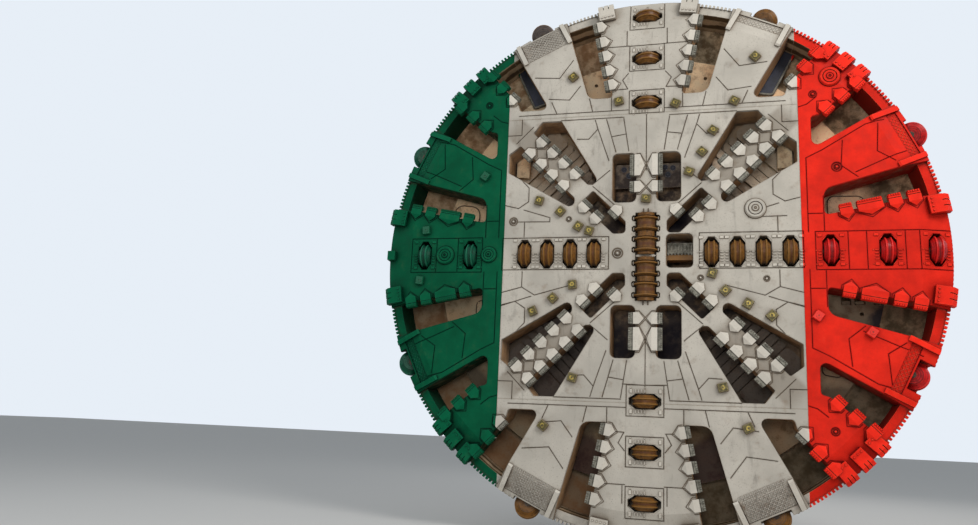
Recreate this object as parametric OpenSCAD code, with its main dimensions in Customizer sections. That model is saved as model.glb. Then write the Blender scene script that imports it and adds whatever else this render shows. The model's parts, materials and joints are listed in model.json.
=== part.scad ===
// Cutterhead of a tunnel boring machine: a 9.4 m wheel of welded arms that turns in a fixed bearing ring.
// Axes: X to the right seen from in front, Z up, Y along the tunnel; the cutting face looks along -Y.
// Origin: centre of the bearing ring's rear face. Depths are measured back from the wear plates' front.

/* [Overall] */
// Radius of the rim ring's outer wall
rim_r = 4620; // [4300:10:4900]
// Radial thickness of the rim ring
rim_wall = 150; // [120:5:170]
// Depth of the rim ring's front edge behind the face
rim_front = 200; // [180:5:240]
// Depth of the rim ring's rear edge
rim_back = 840; // [800:10:900]
// Width of the sloped gauge zone inside the rim's radius
gauge_w = 420; // [380:10:460]
// Slope of the gauge zone, in depth for each unit of radius
gauge_slope = 0.325; // [0.28:0.005:0.36]
// How far the arms' ends stand over the rim ring
arm_over = 25; // [15:1:40]
// How far the gauge buckets stand over the rim ring
bucket_over = 80; // [60:5:100]

/* [Face] */
// Thickness of the wear plates
wear_t = 20; // [15:1:25]
// Width of the gaps between the wear plates
groove_w = 12; // [8:1:16]
// Depth of the welded arms' back
arm_back = 600; // [560:10:640]
// Half width of a diagonal spoke between its two long openings
spoke_w = 160; // [145:5:175]
// Distance from the long openings' outer end to the side segments' seams
side_seam = 30; // [20:2:40]
// Distance from the long openings' outer end to the top and bottom segments' seams
end_seam = 60; // [45:5:80]

/* [Disc cutters] */
// Radius of a disc cutter at its edges
disc_r = 216; // [195:1:225]
// How far a disc stands out of the face
disc_proud = 120; // [100:5:130]
// Distance from the cutter's middle to each of its two edges
ring_x = 42; // [38:1:46]
// The same on the twin cutters of the centre column
centre_ring_x = 93; // [85:1:95]
// Half length of a cutter's body
body_w = 108; // [100:1:112]
// Half length of a centre cutter's body
centre_body_w = 130; // [125:1:132]
// Radius of the cutter's shaft
shaft_r = 50; // [40:1:60]
// Radial clearance of the cutter on its shaft
shaft_gap = 0.1; // [0.05:0.01:0.1]
// Clearance between a cutter's body and the sides of its slot
side_gap = 17; // [12:1:20]
// Clearance between a disc's edge and the ends of its slot
end_gap = 44; // [35:1:50]
// Clearance between a disc's edge and the floor of its pocket
floor_gap = 38; // [25:1:60]
// Thickness of the saddle's cheeks that hold the shaft
cheek_w = 36; // [25:1:40]

/* [Scrapers] */
// Width of a scraper
scraper_w = 190; // [170:5:200]
// Length of a scraper's holder from its point to its tip
scraper_l = 170; // [150:5:180]
// Height of a scraper's holder on the face
scraper_h = 50; // [35:1:60]
// Height of the holder at its point
scraper_low = 18; // [12:1:24]
// How far the hard tip reaches past the holder
tip_l = 80; // [60:5:90]
// Depth of the hard tip's foot behind the face
tip_d = 60; // [40:5:80]
// How far a holder reaches over the opening's edge
overhang = 30; // [20:2:40]

/* [Rear] */
// Depth of the chute frame's plate
chute_d = 750; // [720:10:780]
// Thickness of the chute frame's plate and of the rear cone
plate_t = 40; // [30:2:50]
// Radius of the chute frame's plate
chute_r = 3820; // [3500:10:3900]
// Depth of the rear cone from the rim to the legs
cone_rise = 510; // [460:10:560]
// Inner radius of the fixed bearing ring
race_r = 2250; // [2150:10:2350]
// Radial width of the fixed bearing ring
ring_w = 350; // [320:5:380]
// Depth of the fixed bearing ring
ring_h = 320; // [280:10:360]
// Radial running clearance between the two bearing rings
race_gap = 0.1; // [0.05:0.01:0.1]
// Gap between the drive flange and the fixed ring
ring_gap = 10; // [6:1:14]
// Depth of the drive flange
flange_t = 100; // [80:5:120]
// Distance from the rear cone to the drive flange
flange_gap = 170; // [140:5:200]
// How far the legs stand outside the bearing ring's bore
leg_out = 200; // [170:5:220]
// Radial width of a leg
leg_w = 250; // [200:10:300]
// Width of a leg around the head
leg_l = 500; // [400:10:600]
// Bolts in the bearing ring's rear face
bolt_count = 36; // [24:4:48]
// Radius of those bolts' holes
bolt_r = 22; // [16:1:26]
// Depth of those bolts' holes
bolt_d = 120; // [100:5:150]

/* [Hidden] */
HEAD_NODES = ["bearing_ring", "inner_race", "drive_flange", "torque_legs", "rear_cone", "chute_frame",
    "rotary_union", "centre_column", "centre_wings", "diagonal_spokes", "top_segment", "bottom_segment",
    "left_segment", "right_segment", "rim_white", "rim_green", "rim_red", "wear_plates_centre",
    "wear_plates_white", "wear_plates_green", "wear_plates_red", "gauge_guards", "scrapers_white",
    "scrapers_green", "scrapers_red", "scraper_tips", "nozzles", "wear_caps", "cutter_saddles"];

white = "linen";
green = "seagreen";
red = "orangered";
steel = "dimgray";
tan = "tan";

// Places on the face below are those of a head with this factor at 1, and spread with the rim
spread = rim_r / 4620;
function at(x, z, r = 0) = [x * spread, z * spread, r];
// A place by its distance along a diagonal of the face and its distance off it
function along(u, w, r = 0) = [(u * spread - w) / sqrt(2), (u * spread + w) / sqrt(2), r];

// Disc cutters on the four spokes: name, centre along X, centre along Z, turn of the shaft about Y
spoke_cutters = [
    for (c = [
        ["cutter_top_1", 0, 2690, 90], ["cutter_top_2", 0, 3520, 90], ["cutter_top_3", 0, 4340, 90],
        ["cutter_bottom_1", 0, -2460, 90], ["cutter_bottom_2", 0, -3260, 90],
        ["cutter_bottom_3", 0, -4050, 90],
        ["cutter_right_1", 1060, 0, 0], ["cutter_right_2", 1469, 0, 0], ["cutter_right_3", 1873, 0, 0],
        ["cutter_right_4", 2285, 0, 0], ["cutter_right_5", 2883, 0, 0], ["cutter_right_6", 3710, 0, 0],
        ["cutter_right_7", 4412, 0, 0],
        ["cutter_left_1", -873, 0, 0], ["cutter_left_2", -1281, 0, 0], ["cutter_left_3", -1683, 0, 0],
        ["cutter_left_4", -2084, 0, 0], ["cutter_left_5", -3070, 0, 0], ["cutter_left_6", -3920, 0, 0],
    ]) [c[0], c[1] * spread, c[2] * spread, c[3]]
];
// Twin cutters in the centre column: name, centre along Z
centre_cutters = [
    for (c = [["cutter_centre_1", 508], ["cutter_centre_2", 147], ["cutter_centre_3", -267],
        ["cutter_centre_4", -627]]) [c[0], c[1] * spread]
];
// Gauge cutters in the ends of the eight sub-spokes: name, clock angle from +Z towards +X, and the distance
// outside the rim
gauge_cutters = [
    ["cutter_gauge_1", 25.6, 0], ["cutter_gauge_2", 65.2, 15], ["cutter_gauge_3", 115.6, -160],
    ["cutter_gauge_4", 154.4, -20], ["cutter_gauge_5", 204.6, 20], ["cutter_gauge_6", 245.2, -50],
    ["cutter_gauge_7", 295.2, -50], ["cutter_gauge_8", 335.5, 40],
];
cutters = concat(spoke_cutters, centre_cutters, gauge_cutters);

// Depths of the rear pieces, one behind the other
cone_d = rim_back + cone_rise;
flange_front = cone_d + flange_gap;
flange_d = flange_front + flange_t;
ring_front = flange_d + ring_gap;
face_depth = ring_front + ring_h;
face_y = -face_depth;

// Radii that follow the rim
rim_in = rim_r - rim_wall;
gauge_r = rim_r - gauge_w;
arm_r = rim_r + arm_over;
bore_r = rim_r + bucket_over;

// Slots and pockets of the disc cutters
disc_depth = disc_r - disc_proud;
slot_w = body_w + side_gap;
slot_l = disc_r + end_gap;
slot_d = disc_depth + disc_r + floor_gap;
slot_chamfer = 75;
notch_l = disc_r + 19;
notch_h = 52;
notch_chamfer = 22;
centre_slot_w = disc_r - 41;
centre_slot_top = centre_cutters[0][1] + centre_body_w + 60;
centre_slot_bottom = centre_cutters[3][1] - centre_body_w - 60;
centre_cheek_w = 20;
centre_gap = 6;

// Gauge cutters: depth, tilt of the shaft from radial, pocket, and the block that carries the shaft
gauge_cutter_d = 280;
gauge_tilt = 68;
gauge_pocket_w = disc_r + 29;
gauge_pocket_d = gauge_cutter_d + 190;
gauge_foot_w = 110;
gauge_foot_in = 200;
gauge_end_gap = 8;
// The lip over a gauge cutter's inner half: where it ends inside the cutter's centre, and the depth of its
// underside
lip_in = 55;
lip_d = 155;
// Bare band before each lip, and the guard bars at both sides of it
spoke_clocks = [for (q = [0 : 3], s = [-1, 1]) 45 + q * 90 + s * 19.7];
lip_bar = 30;
band_l = 170;
band_w = 400;
guard_in = rim_r - 470;
guard_w = 80;
guard_h = 45;
// Cuts start this far outside the surface that they open
clear = 10;

// Corners of the openings' outlines: x, z, radius; the rows off the diagonals follow the spoke's width
round_steps = 4;
block = 2430 * spread;
outer_opening = [at(583, 2810, 60), at(1021, 2810, 170), at(1531, 4600), at(927, 4600)];
arm_opening = [at(1712, 2655, 90), at(2262, 2655, 60), at(2300, 2790, 40), at(3132, 3797), at(2826, 4600)];
long_opening = [at(1495, 2430, 30), at(1840, 2430, 30), along(2986, spoke_w, 30), along(1573, spoke_w, 60),
    at(774, 1215, 90)];
inner_slot = [at(905, 1120, 40), at(1120, 905, 40), at(555, 340, 70), at(340, 340, 70), at(340, 555, 70)];
centre_window = [at(165, 885, 100), at(580, 885, 100), at(580, 1770, 100), at(165, 1770, 100)];
hub_window = [at(330, -260, 80), at(770, -260, 80), at(770, 325, 80), at(330, 325, 80)];

// Seams of the centre block run between these places, each inside an opening
seam_hub = at(330, 330);
seam_slot = at(900, 1010);
seam_inner = at(900, 1300);
seam_outer = at(1665, 2300);
seam_x = block + side_seam;
seam_z = block + end_seam;

// Edges that carry scrapers: the upright spoke's edge and the diagonal arm's edge
column_slope = (outer_opening[3][0] - outer_opening[0][0]) / (outer_opening[3][1] - outer_opening[0][1]);
function column_edge(z) = outer_opening[0][0] + (z - outer_opening[0][1]) * column_slope;
function across(p) = (p[1] - p[0]) / sqrt(2);
function out(p) = (p[0] + p[1]) / sqrt(2);
arm_slope = (across(arm_opening[3]) - across(arm_opening[2])) / (out(arm_opening[3]) - out(arm_opening[2]));
function arm_edge(u) = across(arm_opening[2]) + (u - out(arm_opening[2])) * arm_slope;
slot_half = -across(inner_slot[1]);

// Scrapers along the diagonal spokes: distances from the centre along the diagonal
row_of_five = [1720, 2015, 2305, 2595, 2885];
row_of_four = [1865, 2155, 2445, 2735];
// Scrapers of an inner slot: distance along the diagonal, side of the diagonal
slot_scrapers = [[870, 1], [1030, -1], [1320, -1]];
// Scrapers beside the upright spokes: height above, height below
column_scrapers = [[3040, 2930], [3310, 3200], [3595, 3460], [3870, 3740], [4165, 4020]];
// Scrapers beside the level spokes: distance from the centre, width in scrapers
wing_scrapers = [[3130, 1], [3480, 2], [3845, 1], [4120, 1]];
// Scrapers on the diagonal arms outside the centre block: distance along the diagonal
arm_scrapers = [3735, 4050, 4360];
// Scrapers at the centre windows: height above, height below, width in scrapers
window_scrapers = [[1150, 1110, 1], [1535, 1450, 2]];
column_lean = atan(column_slope);
arm_seat = 10;
// Scrapers side by side overlap by this much
scraper_lap = 4;
// Narrowing of the hard tip at each side, and the crease across it
tip_taper = 6;
crease_x = 8;
crease_w = 12;
crease_d = 13;
// Share of a holder's length that its pointed end takes
point_share = 0.45;

// Gauge buckets: reach inside the rim, clock angles on a spoke and on a diagonal arm, widths, teeth
bucket_in = rim_r - 240;
bucket_h = 30;
spoke_bucket = 9.2;
bucket_w = 280;
arm_buckets = [41, 45, 49];
arm_bucket_w = 210;
bucket_edge_d = 60;
tooth_gap = 14;
tooth_l = 130;
tooth_foot = 9;
seat_gap = 0.3;

// Gaps between wear plates, drawn in the upper right quarter: which quarters, then places along the gap
everywhere = [[0, 0], [0, 1], [1, 0], [1, 1]];
above = [[0, 0], [1, 0]];
below = [[0, 1], [1, 1]];
grooves = [
    [everywhere, [0, 1450], [0, 2490]],
    [everywhere, [390, 2410], [300, 1810]],
    [everywhere, [690, 2410], [520, 1800]],
    [everywhere, [360, 2120], [590, 2085]],
    [everywhere, [890, 2410], [840, 2240], [640, 1650]],
    [everywhere, [840, 2240], [1000, 2060], [1200, 2070]],
    [everywhere, [620, 1470], [920, 1220]],
    [everywhere, [910, 1190], [390, 720]],
    [everywhere, [390, 2435], [1495, 2435]],
    [below, [0, 2200], [360, 2190]],
    [everywhere, [2460, 890], [2220, 830], [2040, 950], [2040, 1200], [2160, 1330]],
    [above, [2120, 800], [1650, 650], [1650, 575], [2240, 585]],
    [below, [2460, 675], [2110, 580], [1880, 720], [1300, 560]],
    [below, [2460, 906], [1940, 740]],
    [below, [2110, 580], [2110, 310]],
    [above, [2100, 585], [2100, 310]],
    [everywhere, [2210, 2490], [2210, 2196], [2460, 2196]],
    [everywhere, [2000, 2340], [2300, 2040]],
    [everywhere, [310, 2565], [2270, 2565]],
    [everywhere, [1680, 2790], [1580, 2565]],
    [everywhere, [1000, 2820], [940, 2565]],
    [everywhere, [610, 2820], [610, 2565]],
    [everywhere, [2000, 3290], [1550, 3250], [1310, 3580]],
    [everywhere, [1735, 2860], [1360, 2820], [1170, 3070]],
    [everywhere, [310, 3775], [350, 3775], [350, 4060]],
    [everywhere, [350, 3775], [700, 3775]],
    [everywhere, [320, 3250], [420, 3130], [330, 2960], [600, 2950]],
    [everywhere, [2560, 310], [2560, 1550]],
    [everywhere, [2560, 610], [2780, 610]],
    [everywhere, [2800, 310], [2800, 900]],
    [everywhere, [2560, 1550], [2800, 1670], [3470, 2080], [3760, 2160]],
    [everywhere, [3330, 1200], [3085, 1400], [3120, 1820]],
    [everywhere, [3890, 1450], [3630, 1620], [3660, 2090]],
    [everywhere, [3300, 1280], [3780, 1500], [4120, 1640]],
    [everywhere, [3150, 310], [4170, 310]],
    [everywhere, [2470, 2440], [2600, 2480], [2750, 2600]],
];
// Frames around the groups of disc cutters: left, bottom, right and top edge
frames = [[870, -275, 2480, 325], [-2480, -275, -620, 290], [2660, -310, 3140, 310], [3410, -310, 3960, 310],
    [4165, -310, 4650, 310], [-3300, -310, -2850, 310], [-4170, -310, -3700, 310], [-300, 2490, 300, 2920],
    [-300, 3290, 300, 3770], [-300, 4080, 300, 4640], [-300, -2700, 300, -2200], [-300, -3500, 300, -3020],
    [-300, -4290, 300, -3800]];

// Injection nozzles: square blocks on the face, at x and z
nozzle_places = [[1108, 2104], [925, 1730], [713, 1390], [490, 2630], [1460, 2610], [0, 940], [1810, 3390],
    [1070, -360], [1270, -646], [1617, -858], [1973, -1050], [1210, -2200], [1584, -2816],
    [-1845, 957], [-1464, 753], [-1147, 479], [-957, 394], [-1295, 3245], [-479, 2730],
    [-1900, -1000], [-1556, -774], [-1225, -542], [-1190, -2110], [-1660, -2907],
    [2660, -1050], [3420, -1300], [-2850, 1440], [-3910, 460], [-3980, -460]];
nozzle_l = 120;
nozzle_w = 110;
nozzle_h = 45;
nozzle_boss_r = 38;
nozzle_boss_h = 25;
nozzle_bore = 14;
nozzle_floor = 5;
// Round wear caps: x, z, radius
cap_places = [[2970, 2940, 165], [1758, 719, 165], [-2725, 0, 140], [-3534, 0, 165]];
cap_h = 40;
// Steps of a cap's profile, as shares of its radius and its height
cap_steps = [[0, 0], [1, 0], [1, 0.4], [0.88, 1], [0.7, 1], [0.7, 0.4], [0.6, 0.4], [0.6, 1], [0.3, 1],
    [0.25, 1.3], [0, 1.3]];
// Flush round ports: x, z, radius
port_places = [[-470, 0, 85], [-2300, 594, 70], [3020, 1380, 75], [-1315, 613, 45], [885, -430, 45],
    [1910, -450, 45], [2700, 2650, 60], [2840, -2810, 60], [-2840, 2810, 60]];
port_gap = 6;
port_sink = 4;

// Inside: the legs' outer radius, where the radial webs start, and their thickness
leg_r = race_r + leg_out;
web_in = 1650;
web_t = 80;
// Holes in the chute plate keep their places on it: these are those of a plate with this factor at 1
plate_spread = chute_r / 3820;
// Rectangular holes in the chute plate: x, z, width, height
plate_slots = [[3180, -675, 150, 150], [3388, -675, 165, 150], [3650, -680, 110, 150]];
// Round holes in the chute plate: x, z, radius
plate_holes = [[3411, -906, 32], [990, 3400, 32], [3090, 2070, 26], [-990, 3400, 32]];

function unit(v) = v / norm(v);
function xy(p) = [p[0], p[1]];
function swapped(p) = [p[1], p[0]];
// Points of a rounded corner between the corner's two neighbours
function corner(before, at, after, r) =
    let (u = unit(before - at), v = unit(after - at), half = acos(u * v) / 2,
         c = at + unit(u + v) * r / sin(half),
         a1 = atan2((at + u * r / tan(half) - c)[1], (at + u * r / tan(half) - c)[0]),
         a2 = atan2((at + v * r / tan(half) - c)[1], (at + v * r / tan(half) - c)[0]),
         turn = a2 - a1 > 180 ? a2 - a1 - 360 : a2 - a1 < -180 ? a2 - a1 + 360 : a2 - a1)
    [for (k = [0 : round_steps]) let (a = a1 + turn * k / round_steps) c + r * [cos(a), sin(a)]];
function rounded(pts) = [for (i = [0 : len(pts) - 1])
    each pts[i][2] == 0 ? [xy(pts[i])]
        : corner(xy(pts[(i + len(pts) - 1) % len(pts)]), xy(pts[i]), xy(pts[(i + 1) % len(pts)]), pts[i][2])];
// Depth of the sloped gauge zone at a radius
function gauge_depth(r) = max(0, (r - gauge_r) * gauge_slope);

// An outline drawn on the face, between two depths
module slab(front, back) {
    translate([0, face_y + back, 0]) rotate([90, 0, 0]) linear_extrude(back - front) children();
}
// A profile of radius and depth, turned about the head's axis
module turned(profile) {
    rotate([90, 0, 0]) rotate_extrude($fn = 288) polygon([for (p = profile) [p[0], -face_y - p[1]]]);
}
// Copies in the four quarters of the face
module quarters() {
    for (mx = [0, 1], mz = [0, 1]) mirror([mx, 0, 0]) mirror([0, mz, 0]) children();
}
// Copies in the eight parts of the face
module eighths() {
    quarters() for (d = [0, 1]) mirror([d, -d, 0]) children();
}

module openings() {
    eighths() polygon(rounded(outer_opening));
    eighths() polygon(rounded(arm_opening));
    eighths() polygon(rounded(long_opening));
    quarters() polygon(rounded(inner_slot));
    quarters() polygon(rounded(centre_window));
    polygon(rounded(hub_window));
}
module eight_sided(w, l, chamfer) {
    polygon([[-w, -l + chamfer], [-w + chamfer, -l], [w - chamfer, -l], [w, -l + chamfer],
        [w, l - chamfer], [w - chamfer, l], [-w + chamfer, l], [-w, l - chamfer]]);
}
// Slots of the disc cutters: as wide as the cutter in the wear plates, and wider by the cheeks below them
module spoke_slots(extra) {
    for (c = spoke_cutters) translate([c[1], c[2]]) rotate(c[3])
        eight_sided(slot_w + extra, slot_l, slot_chamfer);
}
module centre_slot(half) {
    translate([-half, centre_slot_bottom]) square([2 * half, centre_slot_top - centre_slot_bottom]);
}
module cutter_slots() {
    spoke_slots(0);
    centre_slot(centre_slot_w);
    for (c = centre_cutters, s = [-1, 1]) translate([0, c[1] + s * centre_ring_x])
        eight_sided(notch_l, notch_h, notch_chamfer);
}
module cutter_pockets() {
    slab(-clear, slot_d) {
        spoke_slots(cheek_w);
        centre_slot(notch_l);
    }
}
// A gauge cutter's pocket: open to the outside, under a lip that covers the disc's inner half
module gauge_pockets() {
    outside = bore_r + disc_r;
    for (c = gauge_cutters) {
        r = rim_r + c[2];
        rotate([0, c[1], 0]) translate([-gauge_pocket_w, 0, 0]) rotate([90, 0, 90])
            linear_extrude(2 * gauge_pocket_w) polygon([for (p = [[r - lip_in, -clear], [r - lip_in, lip_d],
                [r - gauge_pocket_w, lip_d], [r - gauge_pocket_w, gauge_pocket_d], [outside, gauge_pocket_d],
                [outside, -clear]]) [face_y + p[1], p[0]]]);
    }
}
module gauge_bands() {
    for (k = [0 : 7]) rotate(-spoke_clocks[k])
        translate([-band_w, rim_r + gauge_cutters[k][2] - lip_in - lip_bar - band_l])
            square([2 * band_w, band_l]);
}
module gap(from, to) {
    step = to - from;
    translate(from) rotate(atan2(step[1], step[0])) translate([-groove_w / 2, -groove_w / 2])
        square([norm(step) + groove_w, groove_w]);
}
module plate_gaps() {
    for (g = grooves, q = g[0], k = [1 : len(g) - 2]) mirror([q[0], 0, 0]) mirror([0, q[1], 0])
        gap(g[k] * spread, g[k + 1] * spread);
    for (f = frames) {
        gap([f[0], f[1]] * spread, [f[2], f[1]] * spread);
        gap([f[0], f[3]] * spread, [f[2], f[3]] * spread);
        gap([f[0], f[1]] * spread, [f[0], f[3]] * spread);
        gap([f[2], f[1]] * spread, [f[2], f[3]] * spread);
    }
}
module round_places(places, extra) {
    for (p = places) translate([p[0], p[1]] * spread) circle(r = p[2] + extra, $fn = 48);
}

// The centre block's three regions: the upright column, the level wings and the diagonals
module column_region() {
    quarters() polygon([[0, 0], [seam_hub[0], 0], xy(seam_hub), xy(seam_slot), xy(seam_inner), xy(seam_outer),
        [seam_outer[0], seam_z], [0, seam_z]]);
}
module wing_region() {
    quarters() polygon([[seam_hub[0], 0], xy(seam_hub), swapped(seam_slot), swapped(seam_inner),
        swapped(seam_outer), [seam_x, seam_outer[0]], [seam_x, 0]]);
}
module diagonal_region() {
    quarters() polygon([xy(seam_slot), swapped(seam_slot), swapped(seam_inner), swapped(seam_outer),
        [seam_x, seam_outer[0]], [seam_x, seam_z], [seam_outer[0], seam_z], xy(seam_outer), xy(seam_inner)]);
}
module block_region() {
    translate([-seam_x, -seam_z]) square([2 * seam_x, 2 * seam_z]);
}
module end_region() {
    translate([-seam_x, seam_z]) square([2 * seam_x, arm_r]);
}
module side_region() {
    translate([seam_x, -bore_r]) square([bore_r, 2 * bore_r]);
}

// Welded structure of one region: its outline less the openings and pockets, under the wear plates
module structure() {
    difference() {
        intersection() {
            slab(wear_t, arm_back) difference() { children(); openings(); }
            turned([[0, wear_t], [gauge_r, wear_t], [arm_r, wear_t + gauge_depth(arm_r)], [arm_r, rim_front],
                [rim_in, rim_front], [rim_in, arm_back], [0, arm_back]]);
        }
        cutter_pockets();
        gauge_pockets();
    }
}
module wear_sheet() {
    difference() {
        intersection() {
            slab(0, wear_t + gauge_depth(arm_r)) difference() {
                children();
                openings();
                cutter_slots();
                plate_gaps();
                gauge_bands();
                round_places(port_places, port_gap);
            }
            turned([[0, 0], [gauge_r, 0], [arm_r, gauge_depth(arm_r)], [arm_r, wear_t + gauge_depth(arm_r)],
                [gauge_r, wear_t], [0, wear_t]]);
        }
        gauge_pockets();
    }
}
module rim_part() {
    intersection() {
        difference() {
            turned([[rim_in, rim_front], [rim_r, rim_front], [rim_r, rim_back], [rim_in, rim_back]]);
            gauge_pockets();
            cutter_pockets();
        }
        slab(0, rim_back) children();
    }
}

module centre_column() { color(white) structure() column_region(); }
module centre_wings() { color(white) structure() wing_region(); }
module diagonal_spokes() { color(white) structure() diagonal_region(); }
module top_segment() { color(white) structure() end_region(); }
module bottom_segment() { color(white) structure() mirror([0, 1, 0]) end_region(); }
module left_segment() { color(green) structure() mirror([1, 0, 0]) side_region(); }
module right_segment() { color(red) structure() side_region(); }
module rim_white() { color(white) rim_part() { end_region(); mirror([0, 1, 0]) end_region(); } }
module rim_green() { color(green) rim_part() mirror([1, 0, 0]) side_region(); }
module rim_red() { color(red) rim_part() side_region(); }
module wear_plates_centre() { color(white) wear_sheet() block_region(); }
module wear_plates_white() { color(white) wear_sheet() { end_region(); mirror([0, 1, 0]) end_region(); } }
module wear_plates_green() { color(green) wear_sheet() mirror([1, 0, 0]) side_region(); }
module wear_plates_red() { color(red) wear_sheet() side_region(); }

// Raised guard bars on the sloped face, at both sides of each sub-spoke's end
module gauge_guards() {
    color(white) intersection() {
        turned([[guard_in, gauge_depth(guard_in) - seat_gap], [gauge_r, -seat_gap],
            [arm_r, gauge_depth(arm_r) - seat_gap], [arm_r, gauge_depth(arm_r) - guard_h],
            [guard_in + guard_h, -guard_h], [guard_in, -guard_h / 2]]);
        for (a = spoke_clocks, s = [-1, 1]) rotate([0, a, 0])
            translate([s * (band_w + guard_w / 2) - guard_w / 2, face_y - guard_h - clear, guard_in - clear])
                cube([guard_w, rim_front, bore_r - guard_in]);
    }
}

// A scraper's holder points along -X to the spoke's middle and slopes down to its point; its tip end lies
// at x = overhang. The hard tip stands in front of that end and reaches down into the opening.
module scraper_piece(kind, n) {
    w = n * scraper_w - (n - 1) * scraper_lap;
    shoulder = overhang - scraper_l * (1 - point_share);
    point = overhang - scraper_l;
    if (kind != "tip") intersection() {
        slab(-scraper_h, 0) polygon([[overhang, -w / 2], [overhang, w / 2], [shoulder, w / 2],
            [point, 0], [shoulder, -w / 2]]);
        translate([0, face_y, -w / 2]) linear_extrude(w) polygon([[point, 0], [point, -scraper_low],
            [shoulder, -scraper_h], [overhang, -scraper_h], [overhang, 0]]);
    }
    if (kind != "holder") difference() {
        slab(-scraper_h, tip_d) polygon([[overhang, -w / 2], [overhang, w / 2],
            [overhang + tip_l, w / 2 - tip_taper], [overhang + tip_l, -w / 2 + tip_taper]]);
        translate([overhang + crease_x, face_y - scraper_h - clear, -w])
            cube([crease_w, crease_d + clear, 2 * w]);
    }
}
// Places for scrapers on an edge: a point on the face and the way the tip looks
module at_edge(x, z, angle) {
    translate([x, 0, z]) rotate([0, -angle, 0]) children();
}
// Place and way to look for a scraper on a diagonal: distance along it, distance off it, side of it
module on_diagonal(u, w, side) {
    at_edge((u - side * w) / sqrt(2), (u + side * w) / sqrt(2), 45 + side * 90) children();
}
module white_scrapers(kind) {
    for (mx = [0, 1], mz = [0, 1]) mirror([mx, 0, 0]) mirror([0, 0, mz]) {
        for (s = window_scrapers) at_edge(centre_window[0][0], s[mz] * spread, 0) scraper_piece(kind, s[2]);
        for (s = column_scrapers) at_edge(column_edge(s[mz] * spread), s[mz] * spread, -column_lean)
            scraper_piece(kind, 1);
        for (u = mx == mz ? row_of_five : row_of_four, side = [-1, 1])
            on_diagonal(u * spread, spoke_w, side) scraper_piece(kind, 1);
        for (s = slot_scrapers) on_diagonal(s[0] * spread, slot_half, s[1]) rotate([0, 180, 0])
            scraper_piece(kind, 1);
        on_arm(0, 1) scraper_piece(kind, 1);
    }
}
module on_arm(k, side) {
    u = arm_scrapers[k] * spread;
    on_diagonal(u, arm_edge(u) - arm_seat, side) children();
}
// Gauge buckets: toothed blocks on the arms' sloped ends, out to the bored radius, at clock angles from +Z
module gauge_bucket(clock, w) {
    difference() {
        intersection() {
            turned([[bucket_in, gauge_depth(bucket_in) - seat_gap],
                [arm_r + seat_gap, gauge_depth(arm_r) - seat_gap], [arm_r + seat_gap, rim_front],
                [bore_r, rim_front], [bore_r, bucket_edge_d], [bore_r - bucket_over, -bucket_h],
                [bucket_in, -bucket_h]]);
            rotate([0, clock, 0]) translate([-w / 2, face_y - bucket_h - clear, 0])
                cube([w, rim_front + bucket_h + 2 * clear, bore_r + clear]);
        }
        for (s = [-1, 1]) rotate([0, clock, 0])
            translate([s * w / 6 - tooth_gap / 2, face_y - bucket_h - clear, bore_r - tooth_l])
                cube([tooth_gap, bucket_h + clear + gauge_depth(bore_r - tooth_l) - tooth_foot,
                    tooth_l + clear]);
    }
}
module scrapers_white() {
    color(white) {
        white_scrapers("holder");
        for (mx = [0, 1], mz = [0, 1]) mirror([mx, 0, 0]) mirror([0, 0, mz])
            gauge_bucket(spoke_bucket, bucket_w);
    }
}
module scraper_tips() { color(steel) white_scrapers("tip"); }
module side_tools() {
    for (mz = [0, 1]) mirror([0, 0, mz]) {
        for (s = wing_scrapers) at_edge(s[0] * spread, column_edge(s[0] * spread), 90 + column_lean)
            scraper_piece("whole", s[1]);
        for (k = [1, 2]) on_arm(k, 1) scraper_piece("whole", 1);
        for (k = [0 : 2]) on_arm(k, -1) scraper_piece("whole", 1);
        gauge_bucket(90 - spoke_bucket, bucket_w);
        for (a = arm_buckets) gauge_bucket(a, arm_bucket_w);
    }
}
module scrapers_red() { color(red) side_tools(); }
module scrapers_green() { color(green) mirror([1, 0, 0]) side_tools(); }

module nozzles() {
    color("darkgoldenrod") for (p = nozzle_places) translate([p[0] * spread, 0, p[1] * spread])
        rotate([0, -atan2(p[1], p[0]), 0]) difference() {
            union() {
                slab(-nozzle_h, 0) square([nozzle_l, nozzle_w], center = true);
                slab(-nozzle_h - nozzle_boss_h, 0) circle(r = nozzle_boss_r, $fn = 32);
            }
            slab(-nozzle_h - nozzle_boss_h - clear, -nozzle_floor) circle(r = nozzle_bore, $fn = 32);
        }
}
// Round wear caps stand on the face; ports are the same caps sunk flush into the wear plates
module cap(r, h) {
    rotate([90, 0, 0]) rotate_extrude($fn = 48) polygon([for (p = cap_steps) [r * p[0], h * p[1]]]);
}
module wear_caps() {
    color(green) {
        for (c = cap_places) translate([c[0] * spread, face_y, c[1] * spread]) cap(c[2], cap_h);
        for (c = port_places) translate([c[0] * spread, face_y + wear_t, c[1] * spread])
            cap(c[2], wear_t - port_sink);
    }
}

// A cutter turned about the Z axis: a barrel that rises to two hard edges, and the bore for its shaft
module cutter_body(x, w, valley) {
    bore = shaft_r + shaft_gap;
    end_r = disc_r - 76;
    shoulder_r = disc_r - 26;
    edge = 6;
    foot = 20;
    rotate_extrude($fn = 64) polygon([[bore, -w], [end_r, -w], [shoulder_r, -x - foot], [disc_r, -x - edge],
        [disc_r, -x + edge], [disc_r - valley, -x + foot], [disc_r - valley, x - foot], [disc_r, x - edge],
        [disc_r, x + edge], [shoulder_r, x + foot], [end_r, w], [bore, w]]);
}
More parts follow.
